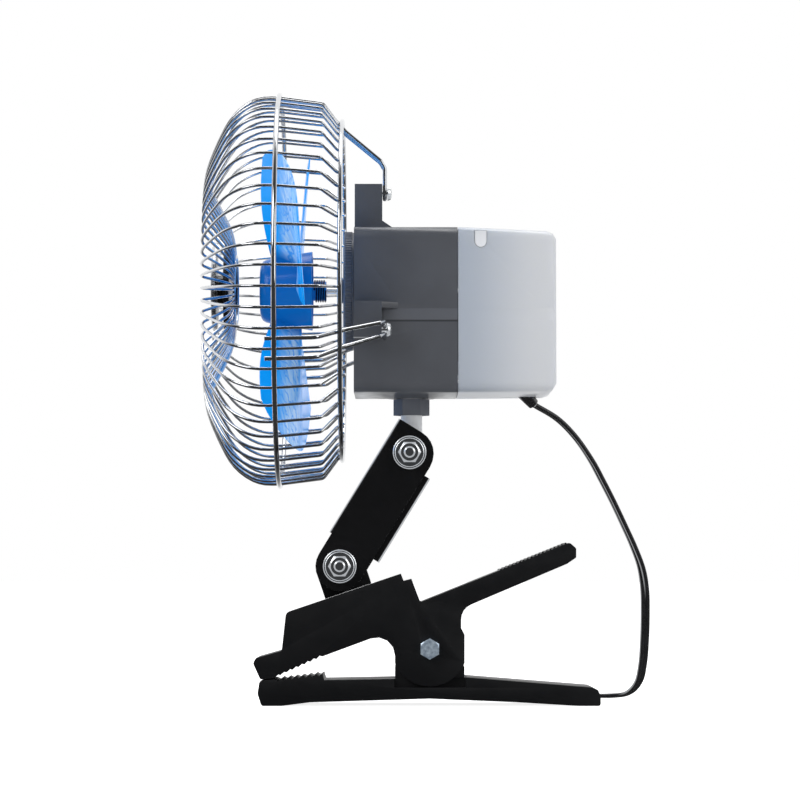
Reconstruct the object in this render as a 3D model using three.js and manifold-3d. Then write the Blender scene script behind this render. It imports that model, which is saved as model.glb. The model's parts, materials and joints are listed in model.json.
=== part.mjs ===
// Clip fan: a small 12 V oscillating fan on a spring clip.
// Millimetres, +Z up. The fan blows towards -X; the clip's pivots run along Y.
// The origin is on the surface that the clip stands on, under the middle of the object.
import * as THREE from 'three';
import { mergeVertices } from 'three/addons/utils/BufferGeometryUtils.js';
import Module from 'manifold-3d';

const wasm = await Module();
wasm.setup();

const DEG = Math.PI / 180;
const TURN = 2 * Math.PI;

// ---------------------------------------------------------------- driving dimensions
const seatGap = 0.3; // between a piece and what it rests on
const runGap = 0.5; // between pieces that turn past each other
const cutOver = 1; // how far a cutting shape runs past what it cuts

// Clip
const clipWidth = 50;
const clipPivot = { x: 14, z: 28.3 };
const clipBoltR = 3;
const cheekR = 18.7; // rounded cheek round the clip's pivot
const cheekHalf = 17.3; // half the cheek's width along the jaw
const cheekWall = 3;
const lugWall = 3;
const lugR = 9; // top of the lower jaw's lugs
const lowerFront = -71.6; // nose of the lower jaw
const lowerRear = 98.9; // heel of the lower jaw
const lowerDeck = 14.1; // height of the lower jaw's deck at the pivot
const archRise = 3.6; // underside between the two feet
const jawShell = 2.6;
const handleSlope = 21.8 * DEG;
const blockSlope = 18.7 * DEG; // slope of the upper jaw's top
const toothPitch = 3.4;
const toothDepth = 1.1;

// Joints of the arm
const lowerPivot = { x: -31, z: 69.3 };
const armLean = 31.5 * DEG;
const armLength = 67;
const jointBoltR = 3;
const holeClear = 0.3;
const earR = 12.2;
const sheet = 2; // steel sheet of the arm and the bracket
const channelOuter = 24; // width of the front channel across the joint
const channelFront = 13.5; // front web, from the line of the pivots
const channelRear = 15.7; // rear web, from the line of the pivots
const flangeRear = 12.4; // rear edge of the front channel's flanges
const washerR = 8.4;
const washerThick = 1.4;
const nutAcross = 10; // M6 across flats
const nutThick = 5;
const boltEnd = 1.6; // bolt thread past the nut

// Neck
const postR = 5.4;
const eyeR = 7.6;
const collarAcross = 15.8; // hexagonal collar, across flats
const collarBottom = 145.4;

// Head
const axisZ = 208.5; // height of the fan's axle
const neckX = 5; // the head turns about this upright line
const housingFront = -23.7;
const housingSplit = 27.8;
const housingRear = 76.8;
const housingBottom = 155.5;
const housingTop = 238;
const housingHalf = 39; // half width below the step in the side
const housingStepIn = 1.2; // the side is this much narrower above the step
const housingStepLow = 191;
const housingStepHigh = 197;
const housingCorner = 6;
const housingWall = 2.4;
const rearTaper = 1.7; // the rear cover's top falls by this much
const floorFlareR = 19.5;
const flareDrop = 1.6;
const lugWide = 16; // the top lug, across
const sideLugTall = 17.9;
const lugFront = -23.7;
const lugRear = -9.8;

// Motor
const noseR = 30;
const bossR = 5.5;
const bossFront = -32.3;
const canR = 25;
const canRear = 24;
const canBossR = 4;
const canWall = 3; // stands for the case, its magnets and the windings
const shaftR = 1.6;
const shaftFront = -70;
const wormR = 3;
const wheelR = 9;
const wheelTeeth = 16;

// Rotor
const hubFront = -71.5;
const hubRear = -45;
const hubR = 20;
const hubNoseR = 16.4;
const hubWall = 2;
const clampBossR = 4.85;
const clampBossRear = -38;
const bladeCount = 3;
const bladeTipR = 81;
const bladeThick = 1.8;
const bladeArc = 77 * DEG; // how far one blade reaches round the hub at its widest
const bladeMidX = -51.2;
const bladeTrail = 4; // how far the trailing edge lies behind the blade's middle
const bladeScoop = 14; // how far the leading edge curls on past its pitch
const bladeTurn = 28.5 * DEG; // where the near blade's middle stands
const clampWire = 0.35; // radius
const clampTurns = 5;

// Guard
const guardR = 98.1; // middle of the wires on the side of the guard
const spokeCount = 60;
const spokeWire = 0.75; // radius
const frontRingWire = 1.3;
const rearRingWire = 1.2;
const frontRingX = -61.4;
const rearRingX = -30;
const hubRingX = -84.1;
const hubRingR = 17.7;
const hubRingWire = 0.9;
const badgeR = 24.5;
const capR = 19.5;
const stemR = 8;
const bracketTurn = -27 * DEG; // the near and far brackets stand this far below level
const topBracketTurn = 93 * DEG; // all three sit on a wire, so their legs fall between wires
const bracketWire = 1;
const bracketSpread = 3 * DEG; // each leg lies this far round from the bracket's middle
const bracketEye = 3; // bend round the screw
const screwR = (housingHalf + 5.55) / Math.cos(bracketTurn); // guard screws, from the axle
const lugPast = 3.7; // the housing's lugs end this far past their screws
const bracketLean = 6 * DEG; // the near and far legs stand this much nearer to level than their screws
const screwHeadR = 3.75;

// Lead
const leadWidth = 4.8;
const leadThick = 2.4;
const glandStart = new THREE.Vector3(64.5, housingHalf - 17, housingBottom);
const coilTurns = 6.25;
const coilMiddleR = 27;
const coilAt = { x: 4, y: 128 };

// ---------------------------------------------------------------- materials
function finish(color, roughness, metalness = 0, opacity = 1) {
  const look = new THREE.MeshStandardMaterial({ color, roughness, metalness });
  look.opacity = opacity;
  look.transparent = opacity < 1;
  return look;
}
const blackPlastic = finish('#1d1e21', 0.55);
const greyPlastic = finish('#4b4e53', 0.45);
const palePlastic = finish('#b3bbc6', 0.3, 0, 0.85);
const postPlastic = finish('#a6a8ab', 0.5);
const bluePlastic = finish('#0a8ae8', 0.2, 0, 0.75);
const blackSteel = finish('#1c1b1c', 0.5, 0.6);
const zinc = finish('#c4c6c8', 0.3, 1);
const chrome = finish('#d8dadd', 0.12, 1);
const springSteel = finish('#2a2f3a', 0.35, 1);
const blackGloss = finish('#101114', 0.25);
const silverCap = finish('#c9ccd2', 0.3, 0.6);
const leadSkin = finish('#2c2c2e', 0.45);
const brass = finish('#b58f4a', 0.35, 1);
const whiteNylon = finish('#e6e4dc', 0.5);
const boardGreen = finish('#2f6b46', 0.5);

// ---------------------------------------------------------------- solids
// A closed geometry as a solid, with its faces turned out.
function solid(geometry) {
  const bare = geometry.clone();
  bare.deleteAttribute('normal');
  bare.deleteAttribute('uv');
  const merged = mergeVertices(bare, 1e-4);
  const spots = new Float32Array(merged.attributes.position.array);
  const corners = new Uint32Array(merged.index.array);
  if (signedVolume(spots, corners) < 0) {
    for (let i = 0; i < corners.length; i += 3) {
      [corners[i], corners[i + 1]] = [corners[i + 1], corners[i]];
    }
  }
  return new wasm.Manifold(new wasm.Mesh({ numProp: 3, vertProperties: spots, triVerts: corners }));
}

function signedVolume(spots, corners) {
  const [a, b, c] = [new THREE.Vector3(), new THREE.Vector3(), new THREE.Vector3()];
  let sum = 0;
  for (let i = 0; i < corners.length; i += 3) {
    a.fromArray(spots, 3 * corners[i]);
    b.fromArray(spots, 3 * corners[i + 1]);
    c.fromArray(spots, 3 * corners[i + 2]);
    sum += a.dot(b.cross(c));
  }
  return sum;
}

function skin(body) {
  const mesh = body.getMesh();
  const geometry = new THREE.BufferGeometry();
  geometry.setAttribute('position', new THREE.BufferAttribute(mesh.vertProperties, 3));
  geometry.setIndex(new THREE.BufferAttribute(mesh.triVerts, 1));
  const flat = geometry.toNonIndexed();
  flat.computeVertexNormals();
  return flat;
}

const join = (...bodies) => bodies.reduce((all, next) => all.add(next));
const cut = (body, ...tools) => tools.reduce((left, tool) => left.subtract(tool), body);

// A shape drawn in X and Z, pushed along Y from low to high.
function across(shape, low, high, steps = 6) {
  const depth = high - low;
  const geometry = new THREE.ExtrudeGeometry(shape, { depth, bevelEnabled: false, curveSegments: steps });
  geometry.rotateX(Math.PI / 2);
  geometry.translate(0, high, 0);
  return solid(geometry);
}

// A shape drawn in Y and Z, pushed along X from low to high.
const yzTurn = new THREE.Matrix4().makeBasis(
  new THREE.Vector3(0, 1, 0),
  new THREE.Vector3(0, 0, 1),
  new THREE.Vector3(1, 0, 0),
);
function along(shape, low, high, steps = 6) {
  const depth = high - low;
  const geometry = new THREE.ExtrudeGeometry(shape, { depth, bevelEnabled: false, curveSegments: steps });
  geometry.applyMatrix4(yzTurn);
  geometry.translate(low, 0, 0);
  return solid(geometry);
}

// A profile of [along the axle, radius] turned about the fan's axle, or about a line parallel to it.
const axleTurn = new THREE.Matrix4().makeBasis(
  new THREE.Vector3(0, 1, 0),
  new THREE.Vector3(1, 0, 0),
  new THREE.Vector3(0, 0, -1),
);
function turned(profile, sides = 32, y = 0, z = axisZ) {
  const points = profile.map(([x, r]) => new THREE.Vector2(r, x));
  const geometry = new THREE.LatheGeometry(points, sides);
  geometry.applyMatrix4(axleTurn);
  geometry.translate(0, y, z);
  return solid(geometry);
}

// A cylinder between two points; six sides make a hexagon.
function rod(from, to, radius, sides = 16, topRadius = radius) {
  const start = new THREE.Vector3(...from);
  const step = new THREE.Vector3(...to).sub(start);
  const geometry = new THREE.CylinderGeometry(topRadius, radius, step.length(), sides);
  geometry.translate(0, step.length() / 2, 0);
  geometry.applyQuaternion(
    new THREE.Quaternion().setFromUnitVectors(new THREE.Vector3(0, 1, 0), step.normalize()),
  );
  geometry.translate(start.x, start.y, start.z);
  return solid(geometry);
}
const rodY = (x, z, low, high, radius, sides) => rod([x, low, z], [x, high, z], radius, sides);
const hexRadius = (acrossFlats) => acrossFlats / Math.sqrt(3);

function box(low, high) {
  const size = high.map((v, i) => v - low[i]);
  const geometry = new THREE.BoxGeometry(...size);
  geometry.translate(...low.map((v, i) => v + size[i] / 2));
  return solid(geometry);
}

function outline(points) {
  const shape = new THREE.Shape();
  points.forEach(([x, y], i) => (i ? shape.lineTo(x, y) : shape.moveTo(x, y)));
  shape.closePath();
  return shape;
}

// A closed outline with each corner rounded to its own radius, by short arcs.
function rounded(corners, steps = 3) {
  const points = [];
  const count = corners.length;
  corners.forEach(([x, y, radius = 0], i) => {
    const here = new THREE.Vector2(x, y);
    const back = new THREE.Vector2(...corners[(i + count - 1) % count]).sub(here);
    const ahead = new THREE.Vector2(...corners[(i + 1) % count]).sub(here);
    const half = Math.abs(back.angleTo(ahead)) / 2;
    const reach = radius / Math.tan(half);
    if (!radius) {
      points.push([x, y]);
      return;
    }
    const centre = back.clone().normalize().add(ahead.clone().normalize());
    centre.setLength(radius / Math.sin(half)).add(here);
    const arm = here.clone().add(back.setLength(reach)).sub(centre);
    const end = here.clone().add(ahead.setLength(reach)).sub(centre);
    const sweep = Math.atan2(arm.cross(end), arm.dot(end));
    for (let k = 0; k <= steps; k++) {
      const turn = (sweep * k) / steps;
      points.push([
        centre.x + arm.x * Math.cos(turn) - arm.y * Math.sin(turn),
        centre.y + arm.x * Math.sin(turn) + arm.y * Math.cos(turn),
      ]);
    }
  });
  return outline(points);
}

// A tube of many sides along points, with flat ends. The section is wide by thick, laid out by `up`.
function tube(points, wide, thick, sides, up) {
  const spots = [];
  const faces = [];
  const last = points.length - 1;
  const place = new THREE.Vector3();
  points.forEach((point, i) => {
    const ahead = new THREE.Vector3()
      .subVectors(points[Math.min(i + 1, last)], points[Math.max(i - 1, 0)])
      .normalize();
    const over = up(i).clone().addScaledVector(ahead, -ahead.dot(up(i))).normalize();
    const side = new THREE.Vector3().crossVectors(ahead, over);
    for (let k = 0; k < sides; k++) {
      const angle = (TURN * (k + 0.5)) / sides;
      place.copy(point).addScaledVector(side, (Math.cos(angle) * wide) / 2);
      place.addScaledVector(over, (Math.sin(angle) * thick) / 2);
      spots.push(place.x, place.y, place.z);
    }
  });
  for (let i = 0; i < last; i++) {
    for (let k = 0; k < sides; k++) {
      const a = i * sides + k;
      const b = i * sides + ((k + 1) % sides);
      faces.push(a, b, b + sides, a, b + sides, a + sides);
    }
  }
  for (let k = 1; k < sides - 1; k++) {
    faces.push(0, k + 1, k);
    faces.push(last * sides, last * sides + k, last * sides + k + 1);
  }
  const geometry = new THREE.BufferGeometry();
  geometry.setAttribute('position', new THREE.Float32BufferAttribute(spots, 3));
  geometry.setIndex(faces);
  return solid(geometry);
}

// ---------------------------------------------------------------- the object
const fan = new THREE.Group();
fan.name = 'clip_fan';

function add(name, body, material, group = fan) {
  const mesh = new THREE.Mesh(skin(body), material);
  mesh.name = name;
  group.add(mesh);
}

// ---------------------------------------------------------------- clip
// Saw teeth from one point to another, cut into the side that `inward` points to.
function teeth(from, to, inward) {
  const length = Math.hypot(to[0] - from[0], to[1] - from[1]);
  const count = Math.round(length / toothPitch);
  const points = [];
  for (let i = 0; i < count; i++) {
    const at = (share) => from.map((v, k) => v + ((to[k] - v) * (i + share)) / count);
    const [x, z] = at(0.5);
    points.push(at(0), [x, z + inward * toothDepth]);
  }
  return points;
}

const jawHalf = clipWidth / 2;
const cheekInside = jawHalf - cheekWall;
const lugOutside = cheekInside - seatGap * 2;
const lugInside = lugOutside - lugWall;
const toothFront = -63.1;
const toothRear = -39.4;
const clipBoltBore = clipBoltR + seatGap;
const bothSides = (make) => join(make(-1), make(1));

function lowerJaw() {
  const deckEnd = 9.2; // the deck falls to this height at the heel
  const heel = lowerRear - 4.3;
  const profile = rounded([
    [lowerFront + 1, 12.5, 1.5],
    [lowerFront, 6, 2],
    [lowerFront + 2, 0, 1.5],
    [lowerFront + 12, 0],
    [lowerFront + 26, archRise / 2],
    [clipPivot.x, archRise],
    [lowerRear - 41, archRise / 2],
    [lowerRear - 11, 0],
    [lowerRear, 0, 1.2],
    [lowerRear, 4.6, 0.8],
    [lowerRear - 1.2, 7.8, 0.8],
    [heel, deckEnd, 0.8],
    [clipPivot.x + cheekHalf + 1.5, lowerDeck],
    [toothRear + 1, lowerDeck - 1.3],
    ...teeth([toothRear, lowerDeck + 2], [toothFront, lowerDeck - 0.9], -1),
    [toothFront, lowerDeck - 0.9],
  ]);
  const tray = across(profile, -jawHalf, jawHalf);
  const hollow = across(
    outline([
      [lowerFront + 14, -cutOver],
      [lowerRear - 12, -cutOver],
      [lowerRear - 12, deckEnd - jawShell],
      [clipPivot.x + cheekHalf, lowerDeck - jawShell * 1.6],
      [lowerFront + 14, lowerDeck - jawShell * 1.8],
    ]),
    -lugInside - 1,
    lugInside + 1,
  );
  const ribs = [0.2, 0.4, 0.6, 0.8].map((share) => {
    const x = lowerFront + (lowerRear - lowerFront) * share;
    return box([x - 1, -jawHalf, archRise + 0.5], [x + 1, jawHalf, lowerDeck]);
  });
  const notch = (side) => {
    const floor = clipPivot.z - cheekR - runGap;
    const near = Math.min(side * (lugOutside + seatGap), side * (jawHalf + cutOver));
    const far = Math.max(side * (lugOutside + seatGap), side * (jawHalf + cutOver));
    return box(
      [clipPivot.x - cheekHalf - runGap, near, floor],
      [clipPivot.x + cheekHalf + runGap, far, lowerDeck + cutOver],
    );
  };
  const lugShape = rounded([
    [clipPivot.x - cheekHalf, lowerDeck - jawShell],
    [clipPivot.x + cheekHalf, lowerDeck - jawShell],
    [clipPivot.x + cheekHalf, clipPivot.z - lugR, 1],
    [clipPivot.x + lugR, clipPivot.z + lugR, lugR * 0.8],
    [clipPivot.x - lugR, clipPivot.z + lugR, lugR * 0.8],
    [clipPivot.x - cheekHalf, clipPivot.z - lugR, 1],
  ]);
  const lug = (side) => {
    const reach = [side * lugInside, side * lugOutside].sort((a, b) => a - b);
    return across(lugShape, ...reach);
  };
  const shell = cut(tray, cut(hollow, ...ribs), bothSides(notch));
  const bore = rodY(clipPivot.x, clipPivot.z, -jawHalf, jawHalf, clipBoltBore, 20);
  return cut(join(shell, bothSides(lug)), bore);
}

const blockFront = { x: -57.5, z: 46.4 };
const blockRear = { x: -0.4, z: 65.7 };
const handleRoot = { x: 9.3, z: 51.5 };
const handleEnd = 86.9;
const handleThick = 11.5;
const handleAt = (x) => handleRoot.z + (x - handleRoot.x) * Math.tan(handleSlope);

function upperJaw() {
  const rear = clipPivot.x + cheekHalf;
  const front = clipPivot.x - cheekHalf;
  const throat = 9; // radius at the root of the throat
  const profile = rounded(
    [
      [blockFront.x, blockFront.z, 3],
      [blockRear.x, blockRear.z],
      [blockRear.x + 1.4, blockRear.z - 3.6],
      [blockRear.x + 5.3, blockRear.z - 2.6],
      [handleRoot.x, handleRoot.z, 1],
      [handleEnd - 3.3, handleAt(handleEnd - 3.3), 2],
      [handleEnd, handleAt(handleEnd) - 4.3, 1],
      [handleEnd, handleAt(handleEnd) - 8.9, 1],
      [handleEnd - 4.6, handleAt(handleEnd - 4.6) - handleThick + 1.3, 1.5],
      [rear - 1.7, handleAt(rear) - handleThick - 0.6, 8],
      [rear - 1.7, clipPivot.z + 9.7],
      [rear, clipPivot.z + 4.7],
      [rear, clipPivot.z],
      [front, clipPivot.z],
      [front, clipPivot.z + 9.6, throat],
      ...teeth([toothRear, 24.5], [toothFront, lowerDeck - 0.2], 1),
      [toothFront, lowerDeck - 0.2],
      [lowerFront + 1.4, lowerDeck - 1, 1],
      [-73.9, 21.2, 2],
      [-72.4, 23.8, 1],
      [blockFront.x - 2.1, 27.4, 1.5],
    ],
    4,
  );
  const block = across(profile, -jawHalf, jawHalf);
  const inside = across(
    outline([
      [blockFront.x + 2.9, blockFront.z - 2.5],
      [blockRear.x - 2, blockRear.z - 4],
      [blockRear.x + 2.6, blockRear.z - 6.6],
      [handleRoot.x - 2.6, handleRoot.z - 4],
      [rear - 4.4, handleRoot.z - 4],
      [rear - 4.4, clipPivot.z + 6],
      [rear + cutOver, clipPivot.z + 6],
      [rear + cutOver, 0],
      [toothRear + 2.4, 0],
      [toothRear + 2.4, 29.2],
      [blockFront.x + 1.5, 21.6],
    ]),
    -cheekInside,
    cheekInside,
  );
  const underHandle = across(
    outline([
      [rear + 9, handleAt(rear + 9) - jawShell],
      [handleEnd - 3.6, handleAt(handleEnd - 3.6) - jawShell],
      [handleEnd - 3.6, handleRoot.z],
      [rear + 9, clipPivot.z],
    ]),
    -jawHalf + jawShell,
    jawHalf - jawShell,
  );
  const disc = new THREE.Shape().absarc(clipPivot.x, clipPivot.z, cheekR, 0, TURN);
  const cheek = (side) => {
    const reach = [side * cheekInside, side * jawHalf].sort((a, b) => a - b);
    const round = across(disc, ...reach, 16);
    return round.intersect(box([front, reach[0], 0], [rear, reach[1], clipPivot.z + cheekR]));
  };
  const bore = rodY(clipPivot.x, clipPivot.z, -jawHalf - 1, jawHalf + 1, clipBoltBore, 20);
  return cut(join(cut(block, inside, underHandle), bothSides(cheek)), bore);
}

add('lower_jaw', lowerJaw(), blackPlastic);
add('upper_jaw', upperJaw(), blackPlastic);

// A bolt along Y with a hexagonal head on one side, and its nut on the other.
function hexBolt(x, z, headAt, endAt, radius, headAcross, headThick) {
  const away = Math.sign(headAt - endAt);
  const head = rod([x, headAt, z], [x, headAt + away * headThick, z], hexRadius(headAcross), 6);
  return join(head, rod([x, headAt + away, z], [x, endAt, z], radius, 14));
}
function hexNut(x, z, from, to, boreR, nutAcrossFlats) {
  return cut(rod([x, from, z], [x, to, z], hexRadius(nutAcrossFlats), 6), rodY(x, z, -99, 99, boreR, 14));
}
const clipHead = 3.4;
const clipHeadAcross = 9.1;
const clipFace = jawHalf + seatGap;
add(
  'clip_pivot_bolt',
  hexBolt(clipPivot.x, clipPivot.z, -clipFace, clipFace + nutThick + boltEnd, clipBoltR, clipHeadAcross, clipHead),
  zinc,
);
add(
  'clip_pivot_nut',
  hexNut(clipPivot.x, clipPivot.z, clipFace, clipFace + nutThick, clipBoltBore, nutAcross),
  zinc,
);

// The torsion spring round the pivot bolt. Both legs lie behind it, under the handle and on the deck.
const springR = 7.5;
const springWire = 1.1;
const springHalf = 8;
const springLoops = 4;
const springSteps = 8;
const legUp = { x: 10, z: 17.8 }; // ends of the legs, from the pivot
const legDown = { x: 17, z: -12.4 };

function clipSpring() {
  const tangent = (leg, side) => {
    const far = Math.hypot(leg.x, leg.z);
    return Math.atan2(leg.z, leg.x) + side * Math.acos(springR / far);
  };
  const start = tangent(legUp, 1);
  let end = tangent(legDown, -1);
  while (end < start + springLoops * TURN) end += TURN;
  const steps = Math.round(((end - start) / TURN) * springSteps);
  const points = [new THREE.Vector3(clipPivot.x + legUp.x, -springHalf, clipPivot.z + legUp.z)];
  for (let i = 0; i <= steps; i++) {
    const share = i / steps;
    const angle = start + (end - start) * share;
    points.push(
      new THREE.Vector3(
        clipPivot.x + springR * Math.cos(angle),
        springHalf * (2 * share - 1),
        clipPivot.z + springR * Math.sin(angle),
      ),
    );
  }
  points.push(new THREE.Vector3(clipPivot.x + legDown.x, springHalf, clipPivot.z + legDown.z));
  const axle = new THREE.Vector3(0, 1, 0);
  return tube(points, 2 * springWire, 2 * springWire, 5, () => axle);
}
add('clip_spring', clipSpring(), springSteel);

// ---------------------------------------------------------------- jaw bracket
// Drawn round the lower pivot, then leaned with the top of the jaw.
const bracketFrame = new THREE.Group();
bracketFrame.position.set(lowerPivot.x, 0, lowerPivot.z);
bracketFrame.rotation.y = -blockSlope;
fan.add(bracketFrame);

const frontFlangeInside = channelOuter / 2 - sheet;
const rearFlangeOutside = frontFlangeInside - seatGap;
const rearFlangeInside = rearFlangeOutside - sheet + seatGap;
const bracketOutside = rearFlangeInside - seatGap;
const bracketInside = bracketOutside - sheet;
const eyeHalf = bracketOutside;
const jointBore = jointBoltR + holeClear;
const pivotOverJaw =
  (lowerPivot.z - blockFront.z) * Math.cos(blockSlope) - (lowerPivot.x - blockFront.x) * Math.sin(blockSlope);
const bracketFoot = seatGap - pivotOverJaw;

function jawBracket() {
  const ear = rounded(
    [
      [-earR, bracketFoot],
      [earR, bracketFoot],
      [earR, earR, earR],
      [-earR, earR, earR],
    ],
    6,
  );
  const channel = across(ear, -bracketOutside, bracketOutside);
  const gap = box([-99, -bracketInside, bracketFoot + sheet], [99, bracketInside, 99]);
  const rivetSeats = [-6, 6].map((x) => rod([x, 0, bracketFoot - 1], [x, 0, bracketFoot + 9], 1.9, 12));
  return cut(channel, gap, ...rivetSeats, rodY(0, 0, -99, 99, jointBore, 16));
}
add('jaw_bracket', jawBracket(), blackSteel, bracketFrame);
for (const [name, x] of [['bracket_screw_front', -6], ['bracket_screw_rear', 6]]) {
  const seat = bracketFoot + sheet + seatGap;
  const head = rod([x, 0, seat], [x, 0, seat + 1.8], 3.2, 12, 2.2);
  const shank = rod([x, 0, bracketFoot + seatGap - 0.2], [x, 0, seat + 0.5], 1.5, 10);
  add(name, join(head, shank), zinc, bracketFrame);
}

// ---------------------------------------------------------------- arm
// Drawn upright from the lower pivot, then leaned back.
const armFrame = new THREE.Group();
armFrame.position.set(lowerPivot.x, 0, lowerPivot.z);
armFrame.rotation.y = armLean;
fan.add(armFrame);
const upperPivot = {
  x: lowerPivot.x + armLength * Math.sin(armLean),
  z: lowerPivot.z + armLength * Math.cos(armLean),
};

function armFrontChannel() {
  const top = armLength + earR - 0.4;
  const webLow = earR - 0.2;
  const flange = rounded(
    [
      [-channelFront, webLow],
      [-channelFront, top],
      [flangeRear, top, earR],
      [flangeRear, -earR, earR],
      [-earR, -earR, earR],
      [-earR, webLow],
    ],
    6,
  );
  const body = across(flange, -channelOuter / 2, channelOuter / 2);
  const inside = box([sheet - channelFront, -frontFlangeInside, -99], [99, frontFlangeInside, 199]);
  const webEnd = (low, high) => box([-99, -frontFlangeInside, low], [sheet - channelFront + 1, frontFlangeInside, high]);
  const bores = [0, armLength].map((z) => rodY(0, z, -99, 99, jointBore, 16));
  return cut(body, inside, webEnd(-99, webLow), webEnd(armLength - 6, 199), ...bores);
}

function armRearChannel() {
  const ear = earR - 1.2;
  const [low, high] = [earR - 0.4, armLength - 5.9];
  const flange = rounded(
    [
      [channelRear, low],
      [channelRear, high],
      [ear, high],
      [ear, armLength + ear, ear],
      [-ear, armLength + ear, ear],
      [-ear, -ear, ear],
      [ear, -ear, ear],
      [ear, low],
    ],
    6,
  );
  const body = across(flange, -rearFlangeOutside, rearFlangeOutside);
  const inside = box([-99, -rearFlangeInside, -99], [channelRear - sheet, rearFlangeInside, 199]);
  const bores = [0, armLength].map((z) => rodY(0, z, -99, 99, jointBore, 16));
  return cut(body, inside, ...bores);
}
add('arm_front_channel', armFrontChannel(), blackSteel, armFrame);
add('arm_rear_channel', armRearChannel(), blackSteel, armFrame);

const washerSeat = channelOuter / 2 + seatGap;
const nutSeat = washerSeat + washerThick + seatGap;
function washer(z, side) {
  const reach = [side * washerSeat, side * (washerSeat + washerThick)].sort((a, b) => a - b);
  return cut(rodY(0, z, ...reach, washerR, 18), rodY(0, z, -99, 99, jointBore, 10));
}
for (const [joint, z] of [['lower', 0], ['upper', armLength]]) {
  const bolt = hexBolt(0, z, nutSeat, -nutSeat - nutThick - boltEnd, jointBoltR, nutAcross, 4);
  add(`${joint}_joint_bolt`, bolt, zinc, armFrame);
  add(`${joint}_joint_nut`, hexNut(0, z, -nutSeat - nutThick, -nutSeat, jointBore, nutAcross), zinc, armFrame);
  add(`${joint}_washer_near`, washer(z, -1), zinc, armFrame);
  add(`${joint}_washer_far`, washer(z, 1), zinc, armFrame);
}

// ---------------------------------------------------------------- neck
const floorTop = housingBottom + housingWall;
const collarTop = housingBottom - flareDrop - seatGap;
const spindleNutLow = floorTop + seatGap;
const spindleNutHigh = spindleNutLow + 3.2;
const leverLow = spindleNutHigh + seatGap;
const leverHigh = leverLow + 2;
const leverReach = 20;
const spindleTop = leverHigh + 2;
const linkLow = leverHigh + seatGap;
const linkHigh = linkLow + 1.8;
const neckAt = (low, high, radius, sides) => rod([neckX, 0, low], [neckX, 0, high], radius, sides);

// The post drops from the collar to an eye between the arm's ears. The eye stands on the joint's line.
function neckPost() {
  const eye = rodY(upperPivot.x, upperPivot.z, -eyeHalf, eyeHalf, eyeR, 24);
  const post = neckAt(upperPivot.z, spindleTop, postR, 24);
  const rib = box(
    [neckX - postR - 1.2, -1.2, upperPivot.z + 5],
    [neckX + postR + 1.2, 1.2, collarBottom - seatGap],
  );
  return cut(join(eye, post, rib), rodY(upperPivot.x, upperPivot.z, -99, 99, jointBore, 16));
}
add('neck_post', neckPost(), postPlastic);
add(
  'neck_collar',
  cut(
    rod([0, 0, collarBottom], [0, 0, collarTop], hexRadius(collarAcross), 6).rotate([0, 0, 30]).translate([neckX, 0, 0]),
    neckAt(0, 999, postR + seatGap, 24),
  ),
  greyPlastic,
);
add(
  'spindle_nut',
  cut(neckAt(spindleNutLow, spindleNutHigh, postR + 3.4, 6), neckAt(0, 999, postR + seatGap, 24)),
  zinc,
);

// The lever stands still on the post; the link joins its pin to the crank, and so swings the head.
function fixedLever() {
  const round = (x, radius) => rod([x, 0, leverLow], [x, 0, leverHigh], radius, 20);
  const bar = box([neckX, -4, leverLow], [neckX + leverReach, 4, leverHigh]);
  const pin = rod([neckX + leverReach, 0, leverLow], [neckX + leverReach, 0, linkHigh + 1], 1.8, 12);
  const body = join(round(neckX, postR + 3), bar, round(neckX + leverReach, 4), pin);
  return cut(body, neckAt(0, 999, postR + seatGap, 24));
}
add('fixed_lever', fixedLever(), zinc);

const wheelY = -(wormR + wheelR + 0.4);
const wheelX = 48;
const crankR = 5;
const linkFrom = new THREE.Vector2(neckX + leverReach, 0);
const linkTo = new THREE.Vector2(wheelX, wheelY + crankR);
function crankLink() {
  const eye = (at, radius) => rod([at.x, at.y, linkLow], [at.x, at.y, linkHigh], radius, 20);
  const side = linkTo.clone().sub(linkFrom).normalize().multiplyScalar(2.4);
  const bar = new THREE.ExtrudeGeometry(
    outline([
      [linkFrom.x - side.y, linkFrom.y + side.x],
      [linkFrom.x + side.y, linkFrom.y - side.x],
      [linkTo.x + side.y, linkTo.y - side.x],
      [linkTo.x - side.y, linkTo.y + side.x],
    ]),
    { depth: linkHigh - linkLow, bevelEnabled: false },
  ).translate(0, 0, linkLow);
  const bore = (at) => rod([at.x, at.y, 0], [at.x, at.y, 999], 2.1, 14);
  return cut(join(eye(linkFrom, 4), eye(linkTo, 4), solid(bar)), bore(linkFrom), bore(linkTo));
}
add('crank_link', crankLink(), zinc);

// ---------------------------------------------------------------- housing
// The housing's outline seen from the front, drawn inwards by `inset`.
function housingSection(inset, top = housingTop, low = housingBottom) {
  const wide = housingHalf - inset;
  const narrow = wide - housingStepIn;
  const radius = housingCorner - inset;
  return rounded(
    [
      [-wide, low + inset, radius],
      [wide, low + inset, radius],
      [wide, housingStepLow],
      [narrow, housingStepHigh],
      [narrow, top - inset, radius],
      [-narrow, top - inset, radius],
      [-narrow, housingStepHigh],
      [-wide, housingStepLow],
    ],
    4,
  );
}

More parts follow.
